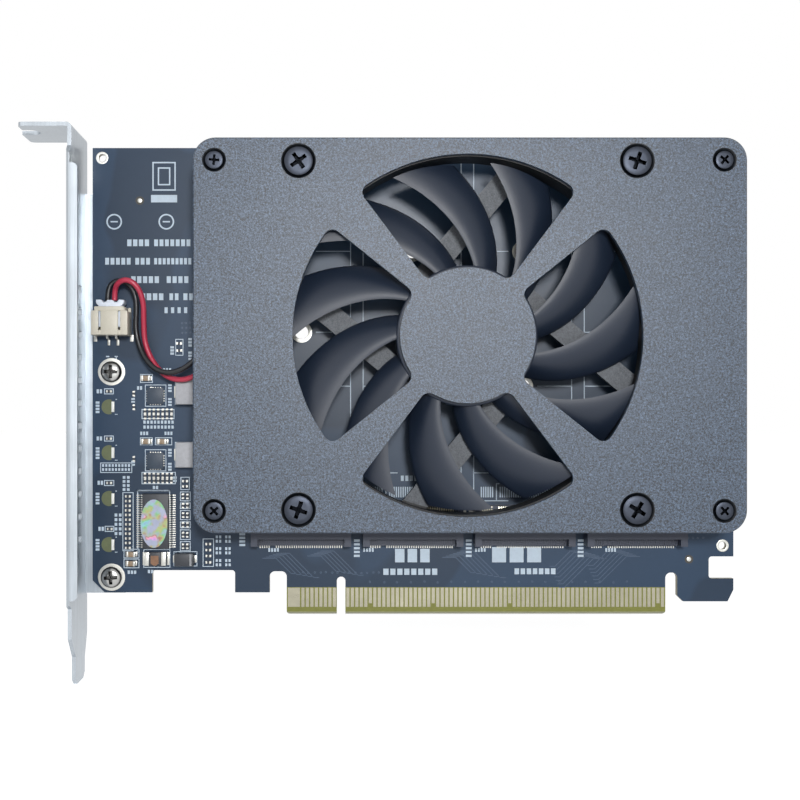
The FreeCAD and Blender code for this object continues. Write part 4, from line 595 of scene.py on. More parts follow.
def ring_tree():
    """Flat rings with a rounded rim, one round each point."""
    tree, given, wanted = node_tree("Plated rings", {
        "Outer": "Float", "Inner": "Float", "Height": "Float", "Base": "Float"})
    outer, inner = given["Outer"], given["Inner"]
    height, base = given["Height"], given["Base"]
    path = add(tree, "GeometryNodeCurvePrimitiveCircle", {"Resolution": 40, "Radius": (outer + inner) * 0.5},
               mode="RADIUS")
    section = add(tree, "GeometryNodeCurvePrimitiveCircle", {"Resolution": 12, "Radius": 1.0}, mode="RADIUS")
    x, y, _ = parts_of(tree, add(tree, "GeometryNodeInputPosition"))
    wide = x.math("MULTIPLY", 1.6).math("MAXIMUM", -1.0).math("MINIMUM", 1.0)
    tall = y.math("MULTIPLY", 1.3).math("MAXIMUM", -1.0).math("MINIMUM", 1.0)
    flat = add(tree, "GeometryNodeSetPosition", {
        "Geometry": section,
        "Position": vector_of(tree, wide * (outer - inner) * 0.5, (tall * 0.5 + 0.5) * height + base, 0.0)})
    ring = add(tree, "GeometryNodeCurveToMesh", {"Curve": path, "Profile Curve": flat})
    copies = add(tree, "GeometryNodeInstanceOnPoints", {"Points": given["Geometry"], "Instance": ring})
    return close_tree(tree, given, wanted, copies)


def blade_tree():
    """Swept blades of thin curved section round the hub that the tree is given."""
    tree, given, wanted = node_tree("Fan blades", {
        "Blades": "Int", "Hub radius": "Float", "Tip radius": "Float", "First": "Float", "Sweep": "Float",
        "Spread": "Float", "Front": "Float", "Rear": "Float", "Thickness": "Float", "Camber": "Float"})
    hub, tip = given["Hub radius"], given["Tip radius"]
    front, rear = given["Front"], given["Rear"]
    bar = add(tree, "GeometryNodeMeshCube", {"Size": (1, 1, 1), "Vertices X": 19, "Vertices Y": 17, "Vertices Z": 3})
    x, y, z = parts_of(tree, add(tree, "GeometryNodeInputPosition"))
    chord, span = x + 0.5, y + 0.5
    radius = hub + (tip - hub) * span
    turn = given["First"] + given["Sweep"] * span
    turn = turn + given["Spread"] * (chord * -1.0 + 0.5)
    fullness = (chord * (chord * -1.0 + 1.0) * 4.0).math("MAXIMUM", 0.0).math("SQRT").math("MAXIMUM", 0.2)
    camber = (chord * math.pi).sine() * given["Camber"]
    thick = given["Thickness"] * (span * -0.35 + 1.15)
    height = front + (rear - front) * chord + camber + z * thick * fullness
    shaped = add(tree, "GeometryNodeSetPosition", {
        "Geometry": bar, "Position": vector_of(tree, radius * turn.cosine(), radius * turn.sine(), height)})
    points = add(tree, "GeometryNodePoints", {"Count": given["Blades"]})
    index = Number(tree, add(tree, "GeometryNodeInputIndex"))
    angle = index * math.tau / given["Blades"]
    copies = add(tree, "GeometryNodeInstanceOnPoints", {
        "Points": points, "Instance": shaped, "Rotation": vector_of(tree, 0.0, 0.0, angle)})
    return close_tree(tree, given, wanted, with_base(tree, given, copies))


TREES = {"Rows of parts": row_tree, "Cross-recess screws": screw_tree, "Plated rings": ring_tree,
         "Fan blades": blade_tree}


def grown(tree_name, material, base=None, place=BOARD, **settings):
    """Run a tree on a base mesh in board coordinates; give the mesh that it makes, in the model's frame."""
    tree = bpy.data.node_groups.get(tree_name) or TREES[tree_name]()
    holder = placed(tree_name, base or bpy.data.meshes.new(tree_name))
    modifier = holder.modifiers.new("Maker", "NODES")
    modifier.node_group = tree
    wanted = {key.replace("_", " "): setting for key, setting in settings.items()}
    wanted["Finish"] = material
    for item in tree.interface.items_tree:
        if item.item_type == "SOCKET" and item.in_out == "INPUT" and item.name in wanted:
            modifier[item.identifier] = wanted.pop(item.name)
    if wanted:
        raise RuntimeError(f"{tree_name} has no input for {sorted(wanted)}")
    graph = bpy.context.evaluated_depsgraph_get()
    mesh = bpy.data.meshes.new_from_object(holder.evaluated_get(graph))
    holder.modifiers.remove(modifier)
    bpy.data.objects.remove(holder)
    mesh.transform(place)
    return mesh


def repeated(material, part, first, columns=1, rows=1, across=(0, 0, 0), up=(0, 0, 0), **settings):
    """Rows and columns of one part, as a mesh."""
    return grown("Rows of parts", material, Part=part, Columns=columns, Rows=rows, Column_step=across, Row_step=up,
                 First=first, **settings)


def dots(places):
    """A mesh of loose points, one for each copy that a tree makes."""
    mesh = bpy.data.meshes.new("Places")
    mesh.from_pydata([Vector(place) for place in places], [], [])
    return mesh


def together(meshes, name):
    """Several meshes as one."""
    shape = bmesh.new()
    for mesh in meshes:
        shape.from_mesh(mesh)
    return drawn(name, shape)


def dress(node, material):
    """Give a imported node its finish."""
    thing = frame["nodes"][node]
    for slot in thing.material_slots:
        slot.material = material
    if not thing.material_slots:
        thing.data.materials.append(material)


# ------------------------------------------------------------ stage and wires
class CARD_OT_stage(bpy.types.Operator):
    """Camera, pale floor, soft lamps and surroundings"""

    bl_idname = "card.stage"
    bl_label = "Stage"

    def execute(self, context):
        settings = context.scene.card_stage
        camera = placed("Camera", bpy.data.cameras.new("Camera"))
        camera.data.lens = settings.lens
        camera.data.sensor_width = 36
        camera.data.shift_x, camera.data.shift_y = 0.075, 0.015
        camera.data.clip_start = 0.01
        camera.location = (-0.00025, -(BOARD_HALF + settings.distance) * MM, 0.04495)
        camera.rotation_euler = (math.pi / 2, 0, 0)
        context.scene.camera = camera
        context.scene.view_settings.view_transform = "Standard"
        lamps = {
            "Key lamp": ((0.06, -0.60, 0.165), 0.10, settings.key),
            "Left lamp": ((-0.50, -0.42, 0.34), 0.55, settings.side),
            "Right lamp": ((0.55, -0.42, 0.10), 0.60, settings.fill),
        }
        target = Vector((0.01, 0, 0.05))
        for name, (place, size, power) in lamps.items():
            lamp = placed(name, bpy.data.lights.new(name, "AREA"))
            lamp.data.shape = "DISK"
            lamp.data.size = size
            lamp.data.energy = power
            lamp.location = place
            lamp.rotation_euler = (target - Vector(place)).to_track_quat("-Z", "Y").to_euler()
        self.make_world(context)
        self.make_floor()
        return {"FINISHED"}

    def make_world(self, context):
        world = bpy.data.worlds.new("Surroundings")
        world.use_nodes = True
        tree = world.node_tree
        background = next(node for node in tree.nodes if node.type == "BACKGROUND")
        background.inputs["Color"].default_value = (1, 1, 1, 1)
        tree.links.new(self.seen(tree, 0.28, 1.0), background.inputs["Strength"])
        context.scene.world = world

    def seen(self, tree, lit, shown):
        """One value for light that falls on things, another for what the camera, gloss and glass show."""
        path = tree.nodes.new("ShaderNodeLightPath")
        camera, glossy, through = (Number(tree, path.outputs[name]) for name in (
            "Is Camera Ray", "Is Glossy Ray", "Is Transmission Ray"))
        shows = camera.math("MAXIMUM", glossy).math("MAXIMUM", through)
        return (shows * (shown - lit) + lit).socket

    def make_floor(self):
        low, reach = CAD_BOX[0][2], 3
        shape = bmesh.new()
        corners = [shape.verts.new((x * reach, y * reach, low)) for x, y in ((-1, -1), (1, -1), (1, 1), (-1, 1))]
        shape.faces.new(corners)
        floor = placed("Floor", drawn("Floor", shape))
        material = bpy.data.materials.new("Pale floor")
        material.use_nodes = True
        tree = material.node_tree
        shader = next(node for node in tree.nodes if node.type == "BSDF_PRINCIPLED")
        shader.inputs["Base Color"].default_value = (0.8, 0.8, 0.8, 1)
        shader.inputs["Roughness"].default_value = 1.0
        shader.inputs["Specular IOR Level"].default_value = 0.0
        shader.inputs["Emission Color"].default_value = (1, 1, 1, 1)
        tree.links.new(self.seen(tree, 0.0, 0.78), shader.inputs["Emission Strength"])
        floor.data.materials.append(material)


def strut_place(offset, along):
    """A point beside the fan's lead strut: off the fan's axis, then along the strut."""
    out = Vector((math.cos(TURN_OF_STRUT), math.sin(TURN_OF_STRUT), 0))
    side = Vector((-out.y, out.x, 0))
    return FAN + out * along + side * offset + Vector((0, 0, 6.3))


BLACK_ROUTE = [
    (-17.3, 79.0, 6.3), (-21.8, 78.8, 6.3), (-25.3, 75.3, 6.3), (-26.8, 69.3, 6.4), (-28.0, 62.5, 6.5),
    (-31.0, 56.6, 6.6), (-35.9, 53.3, 6.3), (-40.6, 53.9, 4.6), (-43.8, 57.6, 3.4), (-45.3, 62.7, 3.0),
    (-45.0, 67.0, 3.2), (-45.1, 70.6, 3.3), (-46.8, 73.3, 3.2), (-49.3, 74.1, 3.0), (-51.35, 72.5, 3.0),
    (-51.35, 69.5, 3.0),
]
RED_ROUTE = [
    (-16.6, 76.9, 6.3), (-20.4, 76.2, 6.3), (-23.0, 72.6, 6.2), (-24.4, 67.0, 6.1), (-25.8, 60.6, 5.9),
    (-28.6, 55.2, 5.4), (-33.2, 51.9, 4.6), (-37.9, 52.2, 3.7), (-41.2, 55.4, 2.9), (-43.3, 59.9, 2.6),
    (-43.4, 64.8, 3.3), (-43.2, 69.2, 4.6), (-44.5, 72.6, 5.4), (-46.8, 74.0, 5.6), (-49.0, 73.2, 4.7),
    (-49.85, 71.5, 3.0), (-49.85, 69.5, 3.0),
]


class CARD_OT_wires(bpy.types.Operator):
    """The fan's red and black wires, from the motor to the plug"""

    bl_idname = "card.wires"
    bl_label = "Fan wires"

    def execute(self, context):
        settings = context.scene.card_wires
        wires = {
            "black_fan_wire": ("fan_wire_black", 14.34, BLACK_ROUTE, settings.black, 0.1103),
            "red_fan_wire": ("fan_wire_red", 15.66, RED_ROUTE, settings.red, 0.1087),
        }
        for name, (node, offset, route, tone, long) in wires.items():
            points = [strut_place(offset, along) for along in (3.0, 19.0, 33.0)] + [Vector(spot) for spot in route]
            line = bpy.data.curves.new(name, "CURVE")
            line.dimensions = "3D"
            line.bevel_depth = settings.thick / 2 * MM
            line.bevel_resolution = 4
            line.resolution_u = 8
            line.use_fill_caps = True
            spline = line.splines.new("NURBS")
            spline.points.add(len(points) - 1)
            for spot, place in zip(spline.points, points):
                spot.co = (*(BOARD @ place), 1)
            spline.order_u = 3
            spline.use_endpoint_u = True
            wire = placed(name, line)
            line.materials.append(finish(node + "_insulation", tone, 0.34, speckle=(4.0, 0.06), handling=(0.12, 0.3),
                                         bump=0.03, Specular_IOR_Level=0.45))
            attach(wire, "card")
            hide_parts(node)
            BOARD @ points[0]
        return {"FINISHED"}


# ------------------------------------------------------------ header and plug
class CARD_OT_fan_header(bpy.types.Operator):
    """Two-pole header on the board, its pins and tabs, and the plug in it"""

    bl_idname = "card.fan_header"
    bl_label = "Fan header and plug"

    def execute(self, context):
        beige = finish("header_nylon", (0.62, 0.585, 0.49), 0.45, speckle=(2.2, 0.05), handling=(0.05, 0.2),
                       bump=0.05)
        white = finish("plug_nylon", (0.72, 0.78, 0.88), 0.40, speckle=(2.2, 0.04), handling=(0.05, 0.25), bump=0.04)
        tin = tinned(context)
        u, low, high, top = -50.6, 61.8, 68.0, 5.5
        shell = bmesh.new()
        block(shell, u, (low + high) / 2, 0.35, 8.0, high - low, 0.65)
        for side in (-1, 1):
            block(shell, u + side * 3.7, (low + high - 1.0) / 2, 0.98, 0.6, high - low - 1.0, 3.92)
            block(shell, u + side * 3.07, high - 0.75, 0.98, 0.66, 1.3, 3.92)
        block(shell, u, low + 0.4, 0.98, 6.82, 0.8, 3.92)
        for left, right in ((-4.0, -2.4), (-1.9, 1.9), (2.4, 4.0)):
            brick(shell, (u + left, low, 4.88), (u + right, high - 0.9, top))
        brick(shell, (u - 2.45, low, 4.88), (u - 1.85, low + 1.1, top))
        brick(shell, (u + 1.85, low, 4.88), (u + 2.45, low + 1.1, top))
        brick(shell, (u - 3.25, high - 0.95, 4.9), (u + 3.25, high, top))
        solid("header_housing", shell, 0.1, beige, slot="header_plastic",
             replaces=["fan_header"])
        pins = bmesh.new()
        for side in (-1, 1):
            x = u + side
            path = [((x, low + 3.5, 2.65), (0, 0, 0.25)), ((x, low + 0.2, 2.65), (0, 0, 0.25)),
                    ((x, low - 0.25, 2.6), (0, 0.08, 0.24)), ((x, low - 0.5, 2.35), (0, 0.2, 0.18)),
                    ((x, low - 0.55, 0.75), (0, 0.25, 0.02)), ((x, low - 0.75, 0.38), (0, 0.18, 0.18)),
                    ((x, low - 1.05, 0.26), (0, 0.03, 0.24)), ((x, low - 2.05, 0.25), (0, 0, 0.24))]
            strip(pins, path, 0.27)
            block(pins, u + side * 4.05, low - 0.45, 0.01, 0.75, 1.5, 0.3)
        solid("header_pins_bent", pins, 0.05, tin, slot="tin", replaces=["header_pins"])
        plug = bmesh.new()
        wide, foot, end = 5.9, low + 1.75, 69.55
        right = [(wide / 2, foot), (wide / 2, end - 1.9), (wide / 2 - 0.45, end - 1.3), (wide / 2 + 0.1, end - 0.75),
                 (wide / 2 + 0.1, end), (wide / 2 - 1.0, end), (wide / 2 - 1.45, end - 0.55), (1.05, end - 0.55),
                 (0.5, end - 0.05)]
        outline = [(-wide / 2, foot)] + right + [(-x, v) for x, v in reversed(right[1:])]
        slab(plug, [(u + x, v) for x, v in outline], 1.05, 4.6)
        for side in (-1, 1):
            brick(plug, (u + side * 0.75 - 0.12, end - 2.6, 4.55), (u + side * 0.75 + 0.12, end - 1.0, 4.72))
        solid("plug_housing", plug, 0.12, white, slot="white_plastic", replaces=["fan_plug"])
        return {"FINISHED"}


# ------------------------------------------------------------ board
def tinned(context):
    return finish("tinned_metal", context.scene.card_board.tin, 0.38, 1.0, speckle=(1.2, 0.05), handling=(0.12, 0.3),
                  bump=0.06)


def ink(context):
    return finish("printed_ink", context.scene.card_board.ink, 0.55, speckle=(2.0, 0.06), handling=(0.06, 0.3))


def mask_paint(settings):
    """Solder mask on the faces, bare laminate at the contact edge and on the sawn edges."""

    def paint(tree, tone):
        x, _, z = parts_of(tree, object_place(tree))
        bare = z.between(-5.0, 5.97, 0.05) * x.between(-12.3, 72.4, 0.05)
        bevel = z.between(-5.0, 0.5, 0.25)
        normal = add(tree, "ShaderNodeTexCoord", output="Normal")
        _, facing, _ = parts_of(tree, normal)
        edge = facing.math("ABSOLUTE").math("LESS_THAN", 0.3)
        laminate = (*settings.laminate, 1.0)
        weave = noise(tree, object_place(tree, (1, 1, 8)), 0.9, 2.0) - 0.5
        fibre = shaded(tree, laminate, weave * 0.5 + 1.0)
        pale = blended(tree, bevel * 0.75, fibre, (0.42, 0.42, 0.33, 1))
        copper = noise(tree, object_place(tree), 0.028, 2.0, 0.4).between(0.47, 2.0, 0.02)
        lacquer = blended(tree, copper, shaded(tree, tone, 0.72), tone)
        face = blended(tree, bare, lacquer, pale)
        return blended(tree, edge, face, shaded(tree, (0.30, 0.27, 0.16, 1), weave * 0.8 + 1.0))

    return paint


class CARD_OT_board(bpy.types.Operator):
    """Finish of the board, its plated contacts, rings, pads and fiducials"""

    bl_idname = "card.board"
    bl_label = "Circuit board"

    def execute(self, context):
        settings = context.scene.card_board
        dress("circuit_board", finish("solder_mask", settings.mask, 0.36, speckle=(1.6, 0.035),
                                      handling=(0.10, 0.045), bump=0.05, paint=mask_paint(settings),
                                      Specular_IOR_Level=0.3))
        gold = finish("gold_plating", settings.plating, 0.30, 1.0, speckle=(1.0, 0.05), handling=(0.10, 0.12),
                      bump=0.04)
        dress("edge_contacts_front", gold)
        dress("edge_contacts_rear", gold)
        tin = tinned(context)
        rings = [
            ("tooling_rings", [(-53.2, 101.5, 0), (84.9, 15.2, 0)], 1.37, 0.86, "tooling_hole_rings"),
            ("drive_rings", [(u, v, 0) for u in SOCKETS for v in DRIVE_ENDS], 2.35, 1.5, "drive_hole_rings"),
            ("bracket_pads", [(*place, 0) for place in BRACKET_SCREWS], 3.06, 1.6, "bracket_screw_pads"),
        ]
        for name, places, outer, inner, node in rings:
            mesh = grown("Plated rings", tin, dots(places), Outer=outer, Inner=inner, Height=0.08, Base=-0.01)
            keep(name, mesh, tin, slot="tin", replaces=[node])
        marks = bmesh.new()
        holes = bmesh.new()
        for u, v in ((-44.8, 92.0), (77.4, 12.2)):
            turned(marks, [(0, 0.05), (0.42, 0.05), (0.5, 0.02), (0.5, -0.02), (0, -0.02)], (u, v, 0), 24)
            turned(holes, [(0, 0.012), (0.95, 0.012), (0.97, -0.01), (0, -0.01)], (u, v, 0), 32)
        solid("fiducial_dots", marks, 0, tin, slot="tin")
        bare = finish("bare_laminate", (0.045, 0.042, 0.035), 0.6, speckle=(1.5, 0.1), handling=(0.1, 0.2))
        solid("fiducial_windows", holes, 0, bare, slot="board")
        return {"FINISHED"}


def inked(shape, u0, v0, u1, v1):
    """A printed box between two corners."""
    brick(shape, (u0, v0, INK_LOW), (u1, v1, INK_TOP))


def frame_line(shape, u0, v0, u1, v1, line):
    """A printed rectangle outline."""
    for low, high in (((u0, v0), (u1, v0 + line)), ((u0, v1 - line), (u1, v1)),
                      ((u0, v0 + line), (u0 + line, v1 - line)), ((u1 - line, v0 + line), (u1, v1 - line))):
        inked(shape, *low, *high)


def word(shape, u, v, count, wide, tall, gap, upright=False):
    """A plain row of small bars where a board has a printed word."""
    for number in range(count):
        along = number * (wide + gap)
        if upright:
            inked(shape, u - tall / 2, v + along, u + tall / 2, v + along + wide)
        else:
            inked(shape, u + along, v - tall / 2, u + along + wide, v + tall / 2)


FRAMES = [
    # u and v of one corner, then of the corner across
    (-44.0, 10.3, -38.0, 14.45), (-45.4, 14.2, -45.15, 27.6), (-38.25, 14.2, -38.05, 27.6),
    (-45.4, 27.35, -38.05, 27.6),
    (-48.4, 12.4, -44.9, 14.5), (-48.4, 10.2, -44.9, 12.3), (-37.3, 10.6, -32.0, 13.95),
    (-44.4, 28.9, -36.8, 31.6), (-53.6, 31.4, -46.5, 33.7), (-48.65, 14.0, -46.2, 27.1),
    (-35.85, 25.1, -33.5, 27.25), (-35.85, 23.4, -33.5, 24.8), (-35.85, 20.9, -33.5, 23.1),
    (-35.85, 19.1, -33.5, 20.6),
    (-35.85, 16.5, -33.5, 18.8), (-35.85, 14.0, -33.5, 16.2), (-35.75, 27.6, -33.7, 30.5), (-30.8, 10.5, -28.3, 16.8),
    (-43.65, 46.15, -38.9, 51.05), (-43.65, 31.75, -38.9, 36.65), (-44.4, 43.4, -37.1, 45.6),
    (-44.75, 51.45, -41.9, 53.4), (-44.75, 37.55, -41.95, 39.3), (-41.4, 37.55, -37.6, 39.3),
    (-52.75, 48.9, -50.6, 50.2), (-52.75, 38.4, -50.6, 39.7), (-52.75, 28.5, -50.5, 29.8), (-52.6, 18.3, -50.5, 19.6),
    (-36.9, 57.5, -35.1, 61.2), (-37.0, 46.6, -30.9, 52.3), (-37.0, 32.6, -30.9, 38.3),
]
WORDS = [
    # bars, wide, tall, gap, upright: places
    (4, 0.95, 1.5, 0.35, False, [(-47.6, 82.6)]),
    (7, 0.85, 1.5, 0.35, False, [(-41.6, 82.6)]),
    (5, 0.85, 1.5, 0.35, False, [(-52.5, 78.5)]),
    (3, 0.85, 1.5, 0.35, False, [(-45.8, 78.5)]),
    (9, 0.65, 1.4, 0.3, False, [(-41.6, 78.5)]),
    (5, 0.95, 1.5, 0.35, False, [(-46.7, 74.4)]),
    (4, 0.9, 1.5, 0.4, False, [(-38.8, 74.4)]),
    (4, 1.0, 1.5, 0.35, False, [(-44.6, 70.6)]),
    (2, 0.8, 1.5, 0.4, False, [(-38.2, 70.6)]),
    (2, 0.9, 1.5, 0.4, False, [(-35.1, 70.6)]),
    (4, 0.7, 1.3, 0.75, False, [(-39.3, 67.6)]),
    (2, 0.5, 0.9, 0.2, False, [(-54.4, 49.55), (-54.4, 39.05), (-54.2, 29.2), (-54.0, 18.95)]),
    (4, 0.5, 0.85, 0.2, True, [(-54.2, 44.7), (-54.2, 34.5), (-54.2, 24.4), (-54.2, 14.1)]),
    (9, 0.5, 0.7, 0.28, False, [(-44.0, 42.7), (-44.0, 41.6)]),
    (9, 0.45, 0.6, 0.27, False, [(-53.2, 33.05), (-53.2, 32.15)]),
    (2, 0.5, 0.7, 0.2, False, [(-41.9, 28.15)]),
    (2, 0.45, 0.8, 0.2, False, [(-45.4, 50.3)]),
    (2, 0.45, 0.8, 0.2, True, [(-46.3, 47.0), (-46.3, 33.0)]),
    (3, 0.45, 0.8, 0.2, True, [(-38.1, 49.4), (-38.1, 46.3), (-38.1, 35.0), (-38.1, 31.9)]),
    (3, 0.45, 0.75, 0.2, False, [(-39.6, 54.35), (-44.7, 40.2), (-39.3, 40.2)]),
    (3, 0.5, 0.8, 0.2, True, [(-37.6, 57.7), (-33.6, 56.5), (-33.6, 59.5)]),
    (2, 0.5, 0.75, 0.2, False, [(-43.0, 9.45)]),
    (3, 0.5, 0.75, 0.2, False, [(-47.5, 9.3)]),
    (2, 0.5, 0.8, 0.2, True, [(-37.0, 29.4)]),
    (4, 0.42, 0.8, 0.22, False, [(-16.2, 14.25), (4.9, 14.25), (29.8, 14.25), (58.8, 14.25)]),
    (4, 0.5, 1.3, 0.3, True, [(-22.0, 15.1)]),
    (5, 0.5, 1.3, 0.35, True, [(3.5, 12.7), (28.4, 12.7), (53.3, 12.7)]),
    (3, 2.1, 3.0, 0.7, False, [(12.0, 13.0)]),
    (8, 1.15, 1.4, 0.4, False, [(9.4, 9.4)]),
    (3, 3.1, 3.4, 0.8, False, [(33.6, 13.2)]),
    (7, 1.0, 1.3, 0.35, False, [(38.6, 9.5)]),
    (1, 0.7, 0.25, 0.2, False, [(-52.3, 57.3), (-50.4, 57.3)]),
    (1, 0.2, 0.7, 0.2, False, [(-50.15, 57.05)]),
]
LABEL_ROWS = [
    # u, v, columns, rows, step across, step up: pairs of bars beside the rows of small parts
    (-48.6, 27.7, 2, 4, 0.95, 0.9), (-50.4, 17.9, 2, 5, 0.95, 1.03), (-27.9, 10.95, 2, 2, 0.75, 0.95),
    (-25.8, 10.95, 2, 2, 0.75, 0.95), (-27.9, 13.6, 2, 2, 0.75, 0.95), (-25.8, 13.6, 2, 2, 0.75, 0.95),
    (-27.9, 16.2, 2, 2, 0.75, 0.95), (-25.8, 16.2, 2, 2, 0.75, 0.95),
]
LAMPS = (46.1, 35.9, 25.7, 15.45)


class CARD_OT_board_marks(bpy.types.Operator):
    """Printed outlines, plain bars in place of words, and the drive outlines under the fan"""

    bl_idname = "card.board_marks"
    bl_label = "Printed marks"

    def execute(self, context):
        settings = context.scene.card_board
        white = ink(context)
        marks = bmesh.new()
        for u0, v0, u1, v1 in FRAMES:
            frame_line(marks, u0, v0, u1, v1, min(settings.line, (u1 - u0) / 2.2))
        for count, wide, tall, gap, upright, places in WORDS:
            for u, v in places:
                word(marks, u, v, count, wide, tall, gap, upright)
        for u, v, columns, rows, across, up in LABEL_ROWS:
            for row in range(rows):
                for column in range(columns):
                    word(marks, u + column * across, v + row * up, 1, across * 0.62, up * 0.66, 0)
        inked(marks, -42.3, 91.6, -36.5, 93.25)
        frame_line(marks, -42.0, 94.2, -36.8, 100.6, 0.3)
        frame_line(marks, -40.8, 95.4, -38.0, 99.4, 0.3)
        for u in (-50.5, -38.9):
            turned(marks, [(1.75, INK_LOW), (1.75, INK_TOP), (1.42, INK_TOP), (1.42, INK_LOW)], (u, 87.3, 0), 32)
            inked(marks, u - 0.8, 87.15, u + 0.8, 87.45)
        for v in LAMPS:
            inked(marks, -50.2, v + 1.55, -49.9, v + 1.75)
            inked(marks, -50.35, v - 1.75, -49.75, v - 1.6)
        for u in SOCKETS:
            self.drive_outline(marks, u)
        solid("printed_marks", marks, 0, white, slot="board", smooth=0)
        stripe = bmesh.new()
        inked(stripe, -0.14, 0, 0.14, 2.35)
        part = master("Contact stripe", stripe)
        meshes = []
        for u in SOCKETS:
            for first, count in ((-9.2, 6), (-5.0, 28)):
                meshes.append(repeated(white, part, (u + first, 25.95, 0), count, across=(0.5, 0, 0)))
        keep("drive_edge_marks", together(meshes, "drive_edge_marks"), white, slot="board", smooth=0)
        return {"FINISHED"}

    def drive_outline(self, marks, u):
        """The outline of a drive, with its card edge and the lines of the shorter lengths."""
        line = 0.2
        for side in (-1, 1):
            edge = u + side * DRIVE_HALF
            inked(marks, edge - line / 2, 25.2, edge + line / 2, 100.6)
        for v in (25.2, 31.4, 100.6) + DRIVE_ENDS[:3]:
            for low, high in ((u - DRIVE_HALF, u - 3.2), (u + 3.2, u + DRIVE_HALF)):
                inked(marks, low, v - line / 2, high, v + line / 2)
        inked(marks, u - 5.95, 25.2, u - 5.75, 29.0)
        inked(marks, u - 5.95, 28.9, u - 5.2, 29.1)
        word(marks, u - 2.5, 30.2, 5, 0.65, 1.2, 0.35)


class CARD_OT_copper(bpy.types.Operator):
    """Copper traces and vias that show through the solder mask"""

    bl_idname = "card.copper"
    bl_label = "Traces and vias"

    def execute(self, context):
        settings = context.scene.card_board
        tone = [part * 1.35 for part in settings.mask]
        mask = finish("mask_over_copper", tone, 0.34, speckle=(1.6, 0.035), handling=(0.08, 0.06), Coat_Weight=0.25,
                      Coat_Roughness=0.25)
        traces = bmesh.new()
        half = settings.trace / 2
        for start, rise, count, gap, direction in (
                (-17.5, 12.4, 5, 0.75, 1), (-7.5, 12.9, 5, 0.72, 1), (22.5, 12.6, 6, 0.8, 1),
                (54.0, 14.0, 7, 0.85, -1), (62.5, 14.2, 6, 0.8, -1)):
            for number in range(count):
                self.trace(traces, start + number * gap, rise + direction * number * 0.28, 3.4 + number * 0.5,
                           direction, half)
        solid("copper_traces", traces, 0, mask, slot="board", smooth=0)
        via = bmesh.new()
        turned(via, [(0.24, -0.01), (0.24, 0.02), (0.12, 0.024), (0.12, -0.01)], segments=12)
        part = master("Via", via)
        meshes = []
        for number, (columns, rows, first, across, up) in enumerate((
                (7, 2, (-21.5, 88.0, 0), (1.9, 0, 0), (0.4, 1.7, 0)),
                (4, 6, (-29.5, 84.0, 0), (1.6, 0.1, 0), (0, 1.8, 0)),
                (6, 1, (75.0, 16.9, 0), (1.1, 0, 0), (0, 1, 0)), (3, 3, (-35.4, 62.6, 0), (0.9, 0, 0), (0, 1.1, 0)),
                (14, 1, (-8.5, 9.2, 0), (1.3, 0, 0), (0, 1, 0)), (20, 1, (6.5, 7.1, 0), (3.0, 0, 0), (0, 1, 0)))):
            meshes.append(repeated(mask, part, first, columns, rows, across, up, Play=0.12, Seed=number))
        keep("vias", together(meshes, "vias"), mask, slot="board")
        return {"FINISHED"}

    def trace(self, traces, u, v, drop, direction, half):
        """A trace that runs level, turns down at 45 degrees and runs level again."""
        points = [(u, v), (u + direction * 3.0, v), (u + direction * (3.0 + drop), v - drop),
                  (u + direction * (4.2 + drop), v - drop)]
        for (u0, v0), (u1, v1) in zip(points, points[1:]):
            along = Vector((u1 - u0, v1 - v0)).normalized()
            off = Vector((-along.y, along.x)) * half
            ends = [Vector((u0, v0)) - off, Vector((u1, v1)) - off, Vector((u1, v1)) + off, Vector((u0, v0)) + off]
            slab(traces, [tuple(end) for end in ends], -0.01, 0.012)


# ------------------------------------------------------------ sheet metal and screws
class CARD_OT_bracket(bpy.types.Operator):
    """Finish of the folded slot bracket"""

    bl_idname = "card.bracket"
    bl_label = "Slot bracket"

    def execute(self, context):
        settings = context.scene.card_sheet
        dress("mounting_bracket", finish("plated_sheet", settings.bracket, 0.36, 0.85, grain=(0.14, 3.0),
                                         handling=(0.10, 0.08), bump=0.05))
        return {"FINISHED"}


class CARD_OT_cover(bpy.types.Operator):
    """Finish of the cover plate and its standoffs"""

    bl_idname = "card.cover"
    bl_label = "Cover plate"

    def execute(self, context):
        settings = context.scene.card_sheet
        # The cover's powder coat carries painted shade in the screws' countersinks.
        dress("cover_plate", finish("powder_coat", settings.cover, 0.40, 0.0, speckle=(4.8, settings.cover_speckle),
                                    handling=(0.05, 0.02), bump=0.6, paint=countersink_shade_paint))
        dress("cover_standoffs", blackened())
        return {"FINISHED"}


def blackened():
    # Black plating; its paint adds painted shade in the screws' recesses and under their heads.
    return finish("blackened_steel", (0.040, 0.046, 0.060), 0.42, 1.0, speckle=(1.8, 0.12), handling=(0.12, 0.3),
                  bump=0.08, paint=recess_shade_paint)


def recess_shade_paint(tree, tone):
    """Painted shade: black plating darkened to a tenth below the cover's top face, so in the screws' recesses and
    under their heads.
    """
    _, depth, _ = parts_of(tree, object_place(tree))
    open_face = (-depth).between(COVER_TOP + BOARD_HALF - 0.02, 99.0, 0.1)
    return shaded(tree, tone, open_face * 0.9 + 0.1)


def crown_shade_paint(tree, tone):
    """Nickel with painted shade: darkened to a fifth below the crown of the bracket screws' heads, in the recess and
    on the head's sides.
    """
    _, depth, _ = parts_of(tree, object_place(tree))
    crown = (-depth).between(1.06 + BOARD_HALF, 99.0, 0.25)
    return shaded(tree, tone, crown * 0.8 + 0.2)


